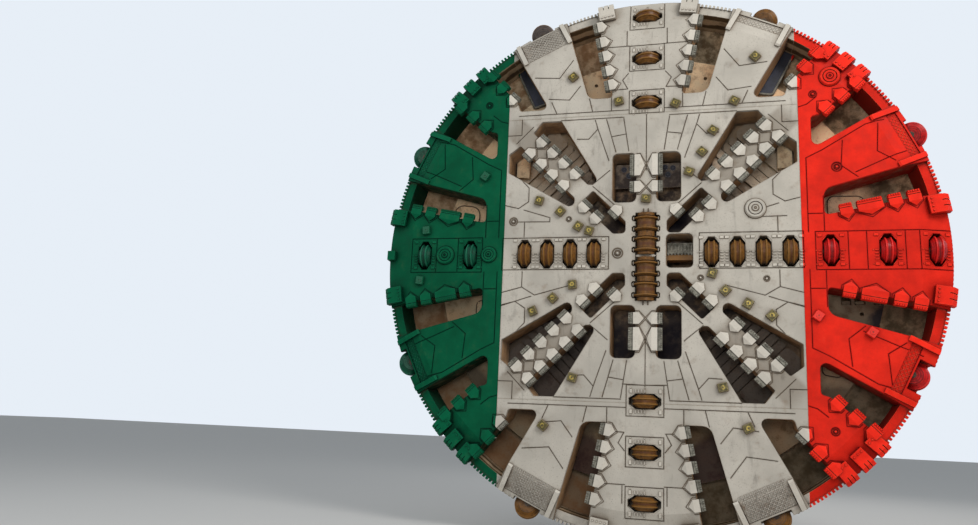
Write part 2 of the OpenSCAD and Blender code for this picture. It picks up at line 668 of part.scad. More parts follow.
// Shaft along Z with a cheek at each end, standing on the pocket's floor
module cutter_saddle(inner, cheek) {
    cheek_l = 4.4 * shaft_r;
    cylinder(r = shaft_r, h = 2 * (inner + cheek), center = true, $fn = 48);
    for (s = [-1, 1]) translate([-cheek_l / 2, wear_t - disc_depth, s > 0 ? inner : -inner - cheek])
        cube([cheek_l, slot_d - wear_t, cheek]);
}
module on_spoke(x, z, turn) {
    translate([x, face_y + disc_depth, z]) rotate([0, -turn, 0]) rotate([0, 90, 0]) children();
}
module at_gauge(c) {
    rotate([0, c[1], 0]) translate([0, face_y + gauge_cutter_d, rim_r + c[2]]) rotate([-gauge_tilt, 0, 0])
        children();
}
module spoke_cutter(c) { color("sienna") on_spoke(c[1], c[2], c[3]) cutter_body(ring_x, body_w, 20); }
module centre_cutter(c) {
    color("sienna") on_spoke(0, c[1], 90) cutter_body(centre_ring_x, centre_body_w, 50);
}
module gauge_cutter(c) { color("sienna") at_gauge(c) cutter_body(ring_x, body_w, 20); }
module cutter_saddles() {
    color(steel) {
        intersection() {
            for (c = spoke_cutters) on_spoke(c[1], c[2], c[3]) cutter_saddle(slot_w, cheek_w);
            turned([[0, wear_t], [gauge_r, wear_t], [arm_r, wear_t + gauge_depth(arm_r)], [arm_r, arm_back],
                [0, arm_back]]);
        }
        for (c = centre_cutters) on_spoke(0, c[1], 90)
            cutter_saddle(centre_body_w + centre_gap, centre_cheek_w);
        for (c = gauge_cutters) intersection() {
            at_gauge(c) {
                translate([0, 0, -body_w - gauge_end_gap])
                    cylinder(r = shaft_r, h = gauge_pocket_d, $fn = 48);
                translate([-gauge_foot_w, -gauge_foot_w, body_w + gauge_end_gap])
                    cube([2 * gauge_foot_w, gauge_foot_w + gauge_foot_in, gauge_pocket_d]);
            }
            turned([[0, 0], [bore_r + disc_r, 0], [bore_r + disc_r, gauge_pocket_d - seat_gap],
                [0, gauge_pocket_d - seat_gap]]);
        }
    }
}

// Inside of the head: radial webs, the chute plate, the rear cone and the legs to the drive flange
function cone_front(r) = rim_back - plate_t + (rim_in - r) / (rim_in - leg_r) * (cone_rise + plate_t);
module chute_frame() {
    color(tan) {
        slab(chute_d, chute_d + plate_t) difference() {
            circle(r = chute_r, $fn = 96);
            for (s = plate_slots) translate([s[0], s[1]] * plate_spread) square([s[2], s[3]], center = true);
            for (h = plate_holes) translate([h[0], h[1]] * plate_spread) circle(r = h[2], $fn = 48);
        }
        intersection() {
            for (k = [0 : 7]) rotate([0, k * 45, 0]) translate([web_in, face_y + arm_back, -web_t / 2])
                cube([rim_in - web_in, cone_d - arm_back, web_t]);
            turned([[web_in, arm_back], [rim_in, arm_back], [rim_in, cone_front(rim_in)], [leg_r, cone_d],
                [leg_r, chute_d + plate_t / 2], [web_in, chute_d + plate_t / 2]]);
        }
    }
}
module rear_cone() {
    color(tan) turned([[leg_r, cone_d], [rim_in, cone_front(rim_in)], [rim_in, rim_back],
        [leg_r, cone_d + plate_t]]);
}
module torque_legs() {
    color(tan) intersection() {
        turned([[leg_r - leg_w, chute_d + plate_t], [leg_r, chute_d + plate_t], [leg_r, flange_front],
            [leg_r - leg_w, flange_front]]);
        for (k = [0 : 7]) rotate([0, k * 45 + 22.5, 0]) translate([0, face_y + chute_d, -leg_l / 2])
            cube([leg_r, flange_front - chute_d, leg_l]);
    }
}
module drive_flange() {
    color(steel) turned([[race_r - leg_out, flange_front], [race_r + ring_w, flange_front],
        [race_r + ring_w, flange_d], [race_r - leg_out, flange_d]]);
}
module inner_race() {
    race_end = face_depth - 4 * ring_gap;
    color(steel) turned([[race_r - leg_out, flange_d], [race_r - race_gap, flange_d],
        [race_r - race_gap, race_end], [race_r - leg_out, race_end]]);
}
module bearing_ring() {
    color("slategray") difference() {
        turned([[race_r, ring_front], [race_r + ring_w, ring_front], [race_r + ring_w, face_depth],
            [race_r, face_depth]]);
        for (k = [0 : bolt_count - 1]) rotate([0, k * 360 / bolt_count, 0])
            translate([0, 1, race_r + ring_w / 2]) rotate([90, 0, 0]) cylinder(r = bolt_r, h = bolt_d + 1);
    }
}
// Rotary union behind the chute plate: a flange, a body and a neck with a through bore
module rotary_union() {
    bore = 60;
    neck_r = 180;
    body_r = 260;
    flange_r = 420;
    flange = 60;
    start = chute_d + plate_t;
    color("silver") turned([[bore, start], [flange_r, start], [flange_r, start + flange],
        [body_r, start + flange], [body_r, flange_front], [neck_r, flange_front],
        [neck_r, ring_front + ring_h / 2], [bore, ring_front + ring_h / 2]]);
}

bearing_ring();
inner_race();
drive_flange();
torque_legs();
rear_cone();
chute_frame();
rotary_union();
centre_column();
centre_wings();
diagonal_spokes();
top_segment();
bottom_segment();
left_segment();
right_segment();
rim_white();
rim_green();
rim_red();
wear_plates_centre();
wear_plates_white();
wear_plates_green();
wear_plates_red();
gauge_guards();
scrapers_white();
scrapers_green();
scrapers_red();
scraper_tips();
nozzles();
wear_caps();
cutter_saddles();
for (c = spoke_cutters) spoke_cutter(c);
for (c = centre_cutters) centre_cutter(c);
for (c = gauge_cutters) gauge_cutter(c);
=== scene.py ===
"""Looks of a tunnel boring machine's cutterhead: a 9.3 m wheel of welded arms in cream, green and red enamel,
with disc cutters, scrapers and gauge buckets on its face, and the bearing that it turns in behind."""
import json
import math
import random

import bmesh
import bpy
from mathutils import Matrix, Vector


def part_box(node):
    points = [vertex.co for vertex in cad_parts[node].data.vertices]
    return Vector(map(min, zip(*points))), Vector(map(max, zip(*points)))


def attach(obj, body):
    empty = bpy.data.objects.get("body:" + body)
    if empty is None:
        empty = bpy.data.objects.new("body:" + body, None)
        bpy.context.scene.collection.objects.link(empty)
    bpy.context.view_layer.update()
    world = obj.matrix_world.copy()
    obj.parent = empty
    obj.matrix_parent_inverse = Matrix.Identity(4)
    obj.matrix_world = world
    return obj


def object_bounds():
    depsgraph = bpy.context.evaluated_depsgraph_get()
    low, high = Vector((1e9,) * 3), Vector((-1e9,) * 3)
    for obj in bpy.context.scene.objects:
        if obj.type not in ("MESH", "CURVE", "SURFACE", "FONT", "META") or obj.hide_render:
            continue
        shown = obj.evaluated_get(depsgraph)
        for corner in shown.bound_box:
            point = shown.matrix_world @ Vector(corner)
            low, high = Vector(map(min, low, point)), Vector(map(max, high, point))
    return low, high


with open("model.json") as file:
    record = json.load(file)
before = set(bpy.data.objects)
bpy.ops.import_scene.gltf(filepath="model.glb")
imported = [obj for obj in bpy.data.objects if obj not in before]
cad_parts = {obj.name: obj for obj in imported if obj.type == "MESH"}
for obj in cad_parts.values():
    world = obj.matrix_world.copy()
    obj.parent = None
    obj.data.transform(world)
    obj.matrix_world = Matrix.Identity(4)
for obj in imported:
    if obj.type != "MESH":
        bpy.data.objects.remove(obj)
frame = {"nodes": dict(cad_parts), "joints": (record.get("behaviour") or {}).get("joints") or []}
cad_box = [list(corner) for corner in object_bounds()]

# Camera: it stands low in front of the head, right of its axis, and looks up and to the left. Its place is
# measured from the head's centre on the face, and its angles and focal length are those of the photograph.
face_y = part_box("wear_plates_centre")[0].y
lens_px = 805.38
frame_width_px = 978
camera_from_face = Vector((1.033, -13.363, -3.029))
yaw, pitch, roll = (math.radians(a) for a in (-15.67, 11.76, 2.67))
ahead = Vector((math.sin(yaw) * math.cos(pitch), math.cos(yaw) * math.cos(pitch), math.sin(pitch)))
level = Vector((math.cos(yaw), -math.sin(yaw), 0))
upward = level.cross(ahead)
camera_right = level * math.cos(roll) + upward * math.sin(roll)
camera_up = upward * math.cos(roll) - level * math.sin(roll)


def linked(name, data):
    """A new object of the data, in the scene"""
    thing = bpy.data.objects.new(name, data)
    bpy.context.scene.collection.objects.link(thing)
    return thing


camera_data = bpy.data.cameras.new("camera")
camera_data.sensor_width = 36
camera_data.lens = lens_px / frame_width_px * camera_data.sensor_width
camera_data.clip_end = 400
camera = linked("camera", camera_data)
camera.matrix_world = Matrix((camera_right, camera_up, -ahead)).transposed().to_4x4()
camera.matrix_world.translation = camera_from_face + Vector((0, face_y, 0))
bpy.context.scene.camera = camera


# Floor and light: a pale studio floor just under the lowest gauge cutter, one broad soft lamp high in front on
# the right, weaker ones in front, on the left and behind, and an even pale sky that the camera sees as the
# backdrop. The lamp in front reaches into the openings.
def node_material(name, roughness=0.6, metallic=0.0, gloss=0.06):
    material = bpy.data.materials.new(name)
    material.use_nodes = True
    shader = material.node_tree.nodes["Principled BSDF"]
    shader.inputs["Roughness"].default_value = roughness
    shader.inputs["Metallic"].default_value = metallic
    shader.inputs["Specular IOR Level"].default_value = gloss
    return material, material.node_tree, shader


def add(kind, inputs=None, tree=None, **settings):
    """A node with its settings, and with each input either linked to a socket or set to a value or a colour. It
    stands in the tree of those sockets, or in the given one."""
    inputs = inputs or {}
    sources = {key: value for key, value in inputs.items() if isinstance(value, bpy.types.NodeSocket)}
    tree = tree or next(iter(sources.values())).id_data
    node = tree.nodes.new(kind)
    for key, value in settings.items():
        setattr(node, key, value)
    for key, value in inputs.items():
        if key in sources:
            tree.links.new(value, node.inputs[key])
        else:
            node.inputs[key].default_value = (*value, 1) if node.inputs[key].type == "RGBA" else value
    return node


def lamp(name, place, size, power, colour):
    data = bpy.data.lights.new(name, "AREA")
    data.size = size
    data.energy = power
    data.color = colour
    holder = linked(name, data)
    holder.location = place
    holder.rotation_euler = (Vector((0, face_y, 0)) - Vector(place)).to_track_quat("-Z", "Y").to_euler()


floor_z = cad_box[0][2] - 0.02
floor_half = 150
floor_mesh = bpy.data.meshes.new("floor")
corners = (-1, -1), (1, -1), (1, 1), (-1, 1)
floor_mesh.from_pydata([(x * floor_half, y * floor_half, floor_z) for x, y in corners], [], [(0, 1, 2, 3)])
floor = linked("floor", floor_mesh)
floor_material, _, floor_shader = node_material("pale_floor", roughness=0.9)
floor_shader.inputs["Base Color"].default_value = 0.62, 0.61, 0.59, 1
floor_mesh.materials.append(floor_material)

world = bpy.data.worlds.new("sky")
bpy.context.scene.world = world
world.use_nodes = True
sky = world.node_tree
sky_light = sky.nodes["Background"]
sky_light.inputs["Color"].default_value = 0.86, 0.93, 1.0, 1
sky_light.inputs["Strength"].default_value = 0.42
backdrop = add("ShaderNodeBackground", {"Color": (0.8, 0.86, 0.93), "Strength": 1.0}, sky)
rays = add("ShaderNodeLightPath", tree=sky).outputs
seen = add("ShaderNodeMath", {0: rays["Is Camera Ray"], 1: rays["Is Glossy Ray"]}, operation="MAXIMUM")
sky_mix = add("ShaderNodeMixShader", {0: seen.outputs[0], 1: sky_light.outputs[0], 2: backdrop.outputs[0]})
sky.links.new(sky_mix.outputs[0], sky.nodes["World Output"].inputs["Surface"])
lamp("lamp_right", (10, face_y - 11, 11), 8, 1950, (1.0, 0.97, 0.93))
lamp("lamp_left", (-12, face_y - 9, 7), 9, 300, (0.92, 0.96, 1.0))
lamp("lamp_front", (0.6, face_y - 15, 0.5), 4, 400, (1.0, 0.96, 0.91))
lamp("lamp_behind", (4, 12, 9), 8, 560, (1.0, 0.98, 0.95))
bpy.context.scene.view_settings.view_transform = "Standard"

# Welded arms and wear plates: the head is sprayed in three colours that meet on two upright seams. The coat is
# chalky and stained by rust water and grime, darker in its corners and gaps with painted shade, worn on sharp
# edges and lighter there with a painted highlight, dusty and darker with painted shade round the scrapers of the
# diagonal rows, and thin on the walls of the openings, where brown steel shows through.
seam_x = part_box("wear_plates_centre")[1].x
coat_colours = (0.5, 0.465, 0.405), (0.001, 0.088, 0.038), (0.74, 0.022, 0.01)
# Edge colours: worn edges made lighter than the coat, a painted highlight.
edge_wear_and_highlight_colours = (0.72, 0.68, 0.61), (0.025, 0.24, 0.14), (0.95, 0.14, 0.07)
wall_colours = (0.46, 0.28, 0.15), (0.004, 0.045, 0.022), (0.3, 0.016, 0.009)
shade_colours = (0.24, 0.2, 0.155), (0.002, 0.03, 0.015), (0.33, 0.01, 0.006)
# Dust and painted shade on the plates between the diagonal rows' scrapers.
row_dust_and_shade = (0.225, 0.19, 0.15)
rim_band_colours = (0.235, 0.2, 0.155), (0.0005, 0.04, 0.02), (0.36, 0.008, 0.006)
# Grime: the colour of real stains and specks, and of painted shade in crevices.
grime_and_shade = (0.055, 0.04, 0.03)
# Dirt colours: for specks of dirt, and for painted shade in corners.
dirt_and_shade_colours = (0.082, 0.054, 0.036), (0.001, 0.02, 0.012), (0.115, 0.005, 0.005)
rust_stain = (0.22, 0.13, 0.07)


def object_place(tree):
    return add("ShaderNodeTexCoord", tree=tree).outputs["Object"]


def noise(place, scale, detail=4.0, rough=0.55, stretch=None):
    if stretch:
        place = add("ShaderNodeMapping", {"Vector": place, "Scale": stretch}).outputs[0]
    return add("ShaderNodeTexNoise", {"Vector": place, "Scale": scale, "Detail": detail,
                                      "Roughness": rough}).outputs[0]


def ramp(value, low, high, to_low=0.0, to_high=1.0):
    return add("ShaderNodeMapRange", {"Value": value, "From Min": low, "From Max": high, "To Min": to_low,
                                      "To Max": to_high}, interpolation_type="SMOOTHSTEP").outputs[0]


def blend(share, below, over, mode="MIX"):
    return add("ShaderNodeMix", {0: share, 6: below, 7: over}, data_type="RGBA", blend_type=mode).outputs[2]


def calc(operation, *values):
    return add("ShaderNodeMath", dict(enumerate(values)), operation=operation).outputs[0]


def times(a, b):
    return calc("MULTIPLY", a, b)


def vector_calc(operation, *values):
    """Vector maths: the value of a length or a dot product, and otherwise the vector"""
    node = add("ShaderNodeVectorMath", dict(enumerate(values)), operation=operation)
    return node.outputs["Value" if operation in ("LENGTH", "DOT_PRODUCT") else "Vector"]


def axes(vector):
    return add("ShaderNodeSeparateXYZ", {0: vector}).outputs


def normal_of(tree):
    return add("ShaderNodeNewGeometry", tree=tree).outputs["Normal"]


def shaded(colour, shade):
    grey = add("ShaderNodeCombineColor", {0: shade, 1: shade, 2: shade}).outputs[0]
    return blend(1.0, colour, grey, "MULTIPLY")


def crevice(tree, reach, start=0.82, full=0.35):
    """1 in corners and gaps narrower than the reach, 0 in the open"""
    open_share = add("ShaderNodeAmbientOcclusion", {"Distance": reach}, tree, samples=4).outputs["AO"]
    return ramp(open_share, start, full)


def sharp_edge(tree, radius):
    """1 on an edge, where the normal of a rounded edge leaves that of the flat face"""
    rounded = add("ShaderNodeBevel", {"Radius": radius}, tree, samples=4).outputs[0]
    flat = add("ShaderNodeNewGeometry", tree=tree).outputs["True Normal"]
    return ramp(vector_calc("DOT_PRODUCT", rounded, flat), 0.985, 0.86)


def zoned(x, colours):
    """The colour of the middle, the left or the right of the head, by the place along X"""
    white, green, red = colours
    right = blend(calc("GREATER_THAN", x, seam_x), white, red)
    return blend(calc("LESS_THAN", x, -seam_x), right, green)


def on_white(x):
    """1 in the cream middle of the head, 0 on its green and red sides"""
    return calc("LESS_THAN", calc("ABSOLUTE", x), seam_x)


def coat(shader, colour, bumps, depth, roughness=None, strength=0.5):
    """Links a finish to its shader: its colour, its bumps, and its roughness where that varies"""
    bump = add("ShaderNodeBump", {"Height": bumps, "Distance": depth, "Strength": strength}).outputs[0]
    for source, key in ((colour, "Base Color"), (roughness, "Roughness"), (bump, "Normal")):
        if source:
            shader.id_data.links.new(source, shader.inputs[key])


def enamel(name, walls=False, rimmed=False, stains=1.0, lift=1.0):
    """Three-colour enamel, with painted shade in nooks and corners and, unless rimmed, a painted highlight on
    sharp edges; with walls or rimmed, dust and painted shade round the scrapers of the diagonal rows; with
    walls, faces that look sideways behind the wear plates are stained and thin; rimmed plates have a dirty band
    along their edges"""
    material, tree, shader = node_material(name)
    place = object_place(tree)
    x, y, z = axes(place)
    broad = noise(place, 1.1, 5)
    patches = noise(place, 5.0, 6, 0.6)
    specks = noise(place, 55.0, 3, 0.6)
    streaks = noise(place, 1.0, 5, 0.6, stretch=(9.0, 9.0, 1.6))
    colour = shaded(zoned(x, coat_colours), ramp(broad, 0.3, 0.7, 0.84 * lift, 1.1 * lift))
    middle = on_white(x)
    vivid = shaded(colour, ramp(patches, 0.3, 0.7, 0.87, 1.12))
    colour = blend(middle, vivid, colour)
    if not rimmed:
        # Sharp edges: worn, and lighter with a painted highlight.
        edge = times(sharp_edge(tree, 0.007), ramp(patches, 0.35, 0.6, 0.25, 0.95))
        colour = blend(edge, colour, zoned(x, edge_wear_and_highlight_colours))
    stainable = calc("MULTIPLY_ADD", middle, 0.75, 0.25)
    if walls or rimmed:
        off_x, off_z = calc("ABSOLUTE", x), calc("ABSOLUTE", z)
        across_row = calc("ABSOLUTE", calc("SUBTRACT", off_x, off_z))
        along_row = calc("ADD", off_x, off_z)
        # Dust and painted shade on the plates round the scrapers of the diagonal rows.
        dust_and_shade_share = times(ramp(across_row, 0.36, 0.24), ramp(along_row, 2.3, 2.6))
        dust_and_shade_share = times(dust_and_shade_share, ramp(along_row, 4.9, 4.5, 0.0, 0.6))
        colour = blend(times(dust_and_shade_share, middle), colour, row_dust_and_shade)
    if rimmed:
        band = times(sharp_edge(tree, 0.026), ramp(patches, 0.3, 0.6, 0.55, 0.95))
        colour = blend(band, colour, zoned(x, rim_band_colours))
    stain_share = times(ramp(patches, 0.54, 0.76, 0.0, 0.36 * stains), stainable)
    colour = blend(stain_share, colour, blend(ramp(streaks, 0.4, 0.6), rust_stain, grime_and_shade))
    speck_share = times(ramp(specks, 0.6, 0.7), ramp(broad, 0.4, 0.6, 0.12, 0.5))
    colour = blend(times(speck_share, stainable), colour, zoned(x, dirt_and_shade_colours))
    streak_share = times(ramp(streaks, 0.56, 0.76, 0.0, 0.26 * stains), stainable)
    colour = blend(streak_share, colour, grime_and_shade)
    if walls:
        look = axes(normal_of(tree))[1]
        depth = calc("SUBTRACT", y, face_y)
        ragged = calc("MULTIPLY_ADD", patches, 0.09, calc("SUBTRACT", depth, 0.045))
        side = times(ramp(look, -0.75, -0.45), ramp(ragged, 0.035, 0.085))
        mud_and_shade = ramp(noise(place, 3.2, 6, 0.65), 0.44, 0.7, 0.0, 0.6)
        wall = blend(mud_and_shade, zoned(x, wall_colours), grime_and_shade)
        wall = blend(ramp(streaks, 0.48, 0.66, 0.0, 0.5), wall, rust_stain)
        colour = blend(side, colour, wall)
    # Painted shade: the coat darkens in nooks and corners by ambient occlusion.
    nook = times(crevice(tree, 0.2, 0.95, 0.6), 0.8)
    colour = blend(nook, colour, zoned(x, shade_colours))
    # Painted shade with dirt: narrow corners and gaps take the dark dirt colour.
    corner = times(crevice(tree, 0.05), ramp(patches, 0.2, 0.6, 0.6, 1.0))
    coat(shader, blend(corner, colour, zoned(x, dirt_and_shade_colours)),
         calc("MULTIPLY_ADD", specks, 0.4, patches), 0.004, ramp(patches, 0.3, 0.7, 0.42, 0.72))
    return material


def finish_nodes(names, material):
    for name in names:
        mesh = frame["nodes"][name].data
        mesh.materials.clear()
        mesh.materials.append(material)


arm_enamel = enamel("arm_enamel", walls=True)
plate_enamel = enamel("plate_enamel", rimmed=True)
finish_nodes(["centre_column", "centre_wings", "diagonal_spokes", "top_segment", "bottom_segment",
              "left_segment", "right_segment"], arm_enamel)
finish_nodes(["wear_plates_centre", "wear_plates_white", "wear_plates_green", "wear_plates_red"], plate_enamel)

# Rim ring: a rolled ring of thick plate round the arms' ends, sprayed outside, and inside brown with patches of
# mud, in light and dark bands round it, the dark ones painted shade as of steps inside the ring. Wear teeth of
# flame-cut plate are welded along its front outer edge.
rim_r = 4.62
tooth_pitch = 0.068
tooth_size = 0.046, 0.085, 0.052
tooth_foot_r = 4.606
tooth_depth = 0.215
gauge_clocks = (25.6, 65.2, 115.6, 154.4, 204.6, 245.2, 295.2, 335.5)
bucket_clocks = [9.2, 350.8, 170.8, 189.2]
bucket_clocks += [side * 90 + way * a for side in (1, 3) for way in (-1, 1) for a in (9.2, 41, 45, 49)]


def joined(x=0.0, y=0.0, z=0.0):
    return add("ShaderNodeCombineXYZ", {0: x, 1: y, 2: z}).outputs[0]


def rim_finish(name):
    material, tree, shader = node_material(name)
    place = object_place(tree)
    x, y, z = axes(place)
    patches = noise(place, 4.0, 6, 0.6)
    specks = noise(place, 50.0, 3, 0.6)
    sprayed = shaded(zoned(x, coat_colours), ramp(patches, 0.3, 0.7, 0.8, 1.08))
    outward = vector_calc("NORMALIZE", joined(x=x, z=z))
    look = vector_calc("DOT_PRODUCT", outward, normal_of(tree))
    waver = calc("MULTIPLY_ADD", patches, 0.16, calc("SUBTRACT", y, face_y))
    # Painted shade: dark bands along the depth of the ring's inside.
    band = calc("SINE", times(waver, 21.0))
    inner = blend(ramp(band, -0.3, 0.6), (0.54, 0.4, 0.26), (0.12, 0.08, 0.042))
    inner = blend(ramp(patches, 0.45, 0.7, 0.0, 0.6), inner, grime_and_shade)
    inner = blend(calc("GREATER_THAN", calc("ABSOLUTE", x), seam_x + 0.55), inner, zoned(x, wall_colours))
    colour = blend(ramp(look, -0.2, -0.6), sprayed, inner)
    # Sharp edges of the rim: worn, and lighter with a painted highlight.
    edge = times(sharp_edge(tree, 0.008), 0.7)
    colour = blend(edge, colour, zoned(x, edge_wear_and_highlight_colours))
    colour = blend(ramp(specks, 0.58, 0.72, 0.0, 0.4), colour, grime_and_shade)
    # Painted shade: crevices darken to grime.
    coat(shader, blend(crevice(tree, 0.08), colour, grime_and_shade), patches, 0.004)
    return material


finish_nodes(["rim_white", "rim_green", "rim_red"], rim_finish("rim_enamel"))


def grown(name, places, sizes, build, material, wires=()):
    """A piece made by Geometry Nodes. places are pairs of a point and a turn; build(tree, given) makes the shape
    that stands on each, from the given sizes. With wires, it makes the shape along them, from place to place."""
    tree = bpy.data.node_groups.new(name, "GeometryNodeTree")
    tree.interface.new_socket("Places", in_out="INPUT", socket_type="NodeSocketGeometry")
    sockets = {size: tree.interface.new_socket(size, in_out="INPUT", socket_type="NodeSocketFloat")
               for size in sizes}
    tree.interface.new_socket("Piece", in_out="OUTPUT", socket_type="NodeSocketGeometry")
    given = tree.nodes.new("NodeGroupInput").outputs
    shape = build(tree, given)
    if not wires:
        turn = add("GeometryNodeInputNamedAttribute", {"Name": "turn"}, tree, data_type="FLOAT_VECTOR")
        shape = add("GeometryNodeInstanceOnPoints", {"Points": given["Places"], "Instance": shape,
                                                     "Rotation": turn.outputs["Attribute"]}).outputs[0]
    real = add("GeometryNodeRealizeInstances", {"Geometry": shape}).outputs[0]
    done = add("GeometryNodeSetMaterial", {"Geometry": real, "Material": material}).outputs[0]
    tree.links.new(done, tree.nodes.new("NodeGroupOutput").inputs[0])
    mesh = bpy.data.meshes.new(name)
    mesh.from_pydata([point for point, turn in places], wires, [])
    turns = mesh.attributes.new("turn", "FLOAT_VECTOR", "POINT")
    turns.data.foreach_set("vector", [angle for point, turn in places for angle in turn])
    piece = linked(name, mesh)
    modifier = piece.modifiers.new(name, "NODES")
    modifier.node_group = tree
    for size, value in sizes.items():
        modifier[sockets[size].identifier] = value
    grown_mesh = bpy.data.meshes.new_from_object(piece.evaluated_get(bpy.context.evaluated_depsgraph_get()))
    piece.modifiers.clear()
    piece.data = grown_mesh
    if not grown_mesh.materials:
        grown_mesh.materials.append(material)
    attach(piece, "cutterhead")


def cone(tree, sides, top, foot, height):
    """A tapered prism that stands on its foot along Z"""
    return add("GeometryNodeMeshCone", {"Vertices": sides, "Radius Top": top, "Radius Bottom": foot,
                                        "Depth": height}, tree).outputs["Mesh"]


def moved(shape, **how):
    """The shape with a Translation, Rotation or Scale"""
    return add("GeometryNodeTransform", {"Geometry": shape, **how}).outputs[0]


def blocks(name, places, size, taper, material):
    """Plates with sloping sides: size is a length along X, a width along Y and a height along Z"""
    def build(tree, given):
        half = math.sqrt(0.5)
        plate = moved(cone(tree, 4, half * taper, half, 1.0), Rotation=(0, 0, math.pi / 4))
        return moved(plate, Scale=joined(given["Length"], given["Width"], given["Height"]))

    grown(name, places, dict(zip(("Length", "Width", "Height"), size)), build, material)


def stand(point, right_way, out_way=(0, -1, 0)):
    """A place for grown(): a point, the way its shape's X looks, and the way its Z looks"""
    out_way = Vector(out_way).normalized()
    up_way = out_way.cross(Vector(right_way)).normalized()
    turn = Matrix((up_way.cross(out_way), up_way, out_way)).transposed().to_euler()
    return tuple(point), tuple(turn)


def clock_ways(clock):
    """Radial and clockwise directions at a clock angle from the top, seen from in front"""
    a = math.radians(clock)
    return Vector((math.sin(a), 0, math.cos(a))), Vector((math.cos(a), 0, -math.sin(a)))


def near(clock, others, reach):
    return any(abs((clock - other + 180) % 360 - 180) < reach for other in others)


teeth = []
tooth_count = int(2 * math.pi * rim_r / tooth_pitch)
for k in range(tooth_count):
    clock = 360 * k / tooth_count
    if near(clock, gauge_clocks, 3.2) or near(clock, bucket_clocks, 1.7):
        continue
    radial, round_way = clock_ways(clock)
    teeth.append(stand(radial * tooth_foot_r + Vector((0, face_y + tooth_depth, 0)), round_way, radial))
blocks("rim_teeth", teeth, tooth_size, 0.72, enamel("tooth_enamel", stains=1.4))

# Scrapers and gauge buckets: cream, green and red holders are welded to the openings' edges, each with a row of
# sintered carbide bricks brazed along its tip. The buckets at the rim are toothed castings held by hex bolts.
scraper_w = 0.19
scraper_lap = 0.004
scraper_h = 0.05
tip_reach = 0.11
spoke_w = 0.16
slot_half = (1.12 - 0.905) / math.sqrt(2)
window_x = 0.165
column_foot, column_end = (0.583, 2.81), (0.927, 4.6)
arm_foot, arm_end = (2.3, 2.79), (3.132, 3.797)
column_slope = (column_end[0] - column_foot[0]) / (column_end[1] - column_foot[1])
column_lean = math.degrees(math.atan(column_slope))
arm_slope = (((arm_end[1] - arm_end[0]) - (arm_foot[1] - arm_foot[0]))
             / ((arm_end[0] + arm_end[1]) - (arm_foot[0] + arm_foot[1])))
row_of_five = (1.72, 2.015, 2.305, 2.595, 2.885)
row_of_four = (1.865, 2.155, 2.445, 2.735)
slot_scrapers = ((0.87, 1), (1.03, -1), (1.32, -1))
column_scrapers = ((3.04, 2.93), (3.31, 3.2), (3.595, 3.46), (3.87, 3.74), (4.165, 4.02))
wing_scrapers = ((3.13, 1), (3.48, 2), (3.845, 1), (4.12, 1))
arm_scrapers = (3.735, 4.05, 4.36)
window_scrapers = ((1.15, 1.11, 1), (1.535, 1.45, 2))


def column_edge(z):
    return column_foot[0] + (z - column_foot[1]) * column_slope


def on_diagonal(u, w, side, turned=0):
    return (u - side * w) / math.sqrt(2), (u + side * w) / math.sqrt(2), 45 + side * 90 + turned, 1


def on_arm(k, side):
    along = arm_scrapers[k]
    middle = (arm_foot[1] - arm_foot[0]) / math.sqrt(2)
    foot = (arm_foot[0] + arm_foot[1]) / math.sqrt(2)
    return on_diagonal(along, middle + (along - foot) * arm_slope - 0.01, side)


scrapers = []
for right in (1, -1):
    for high in (1, -1):
        lower = high < 0
        quarter = [(window_x, s[lower], 0, s[2]) for s in window_scrapers]
        quarter += [(column_edge(s[lower]), s[lower], -column_lean, 1) for s in column_scrapers]
        quarter += [on_diagonal(u, spoke_w, side) for side in (-1, 1)
                    for u in (row_of_five if right == high else row_of_four)]
        quarter += [on_diagonal(u, slot_half, side, 180) for u, side in slot_scrapers]
        quarter += [(x, column_edge(x), 90 + column_lean, n) for x, n in wing_scrapers]
        quarter += [on_arm(k, side) for k in (0, 1, 2) for side in (-1, 1)]
        for x, z, angle, n in quarter:
            a = math.radians(angle)
            scrapers.append((Vector((right * x, face_y, high * z)),
                             Vector((right * math.cos(a), 0, high * math.sin(a))), n))

bricks = []
for foot, way, n in scrapers:
    width = n * scraper_w - (n - 1) * scraper_lap
    side_way = way.cross(Vector((0, 1, 0)))
    for k in range(5 * n):
        offset = (k + 0.5) / (5 * n) - 0.5
        point = foot + way * (tip_reach - 0.016) + side_way * offset * (width - 0.014)
        bricks.append(stand(point + Vector((0, -scraper_h + 0.002, 0)), side_way))


def oversprayed(x, bare):
    """The bare colour in the middle of the head, and the coat's colours on its sides"""
    return blend(on_white(x), zoned(x, coat_colours), bare)


def carbide(name):
    material, tree, shader = node_material(name, metallic=0.15)
    place = object_place(tree)
    x = axes(place)[0]
    patches = noise(place, 14.0, 5, 0.6)
    grains = noise(place, 160.0, 3, 0.6)
    bare = blend(ramp(patches, 0.35, 0.65), (0.27, 0.258, 0.215), (0.125, 0.12, 0.098))
    bare = blend(sharp_edge(tree, 0.003), bare, (0.3, 0.3, 0.26))
    colour = blend(ramp(grains, 0.58, 0.72, 0.0, 0.45), oversprayed(x, bare), grime_and_shade)
    # Painted shade: crevices darken to grime.
    coat(shader, blend(crevice(tree, 0.04), colour, grime_and_shade), grains, 0.002, ramp(patches, 0.3, 0.7, 0.35, 0.6))
    return material


tip_carbide = carbide("tip_carbide")
holder_enamel = enamel("holder_enamel", stains=0.7, lift=1.2)
finish_nodes(["scraper_tips"], tip_carbide)
finish_nodes(["scrapers_white", "scrapers_green", "scrapers_red", "gauge_guards"], holder_enamel)
blocks("carbide_bricks", bricks, (0.03, 0.03, 0.012), 0.86, tip_carbide)


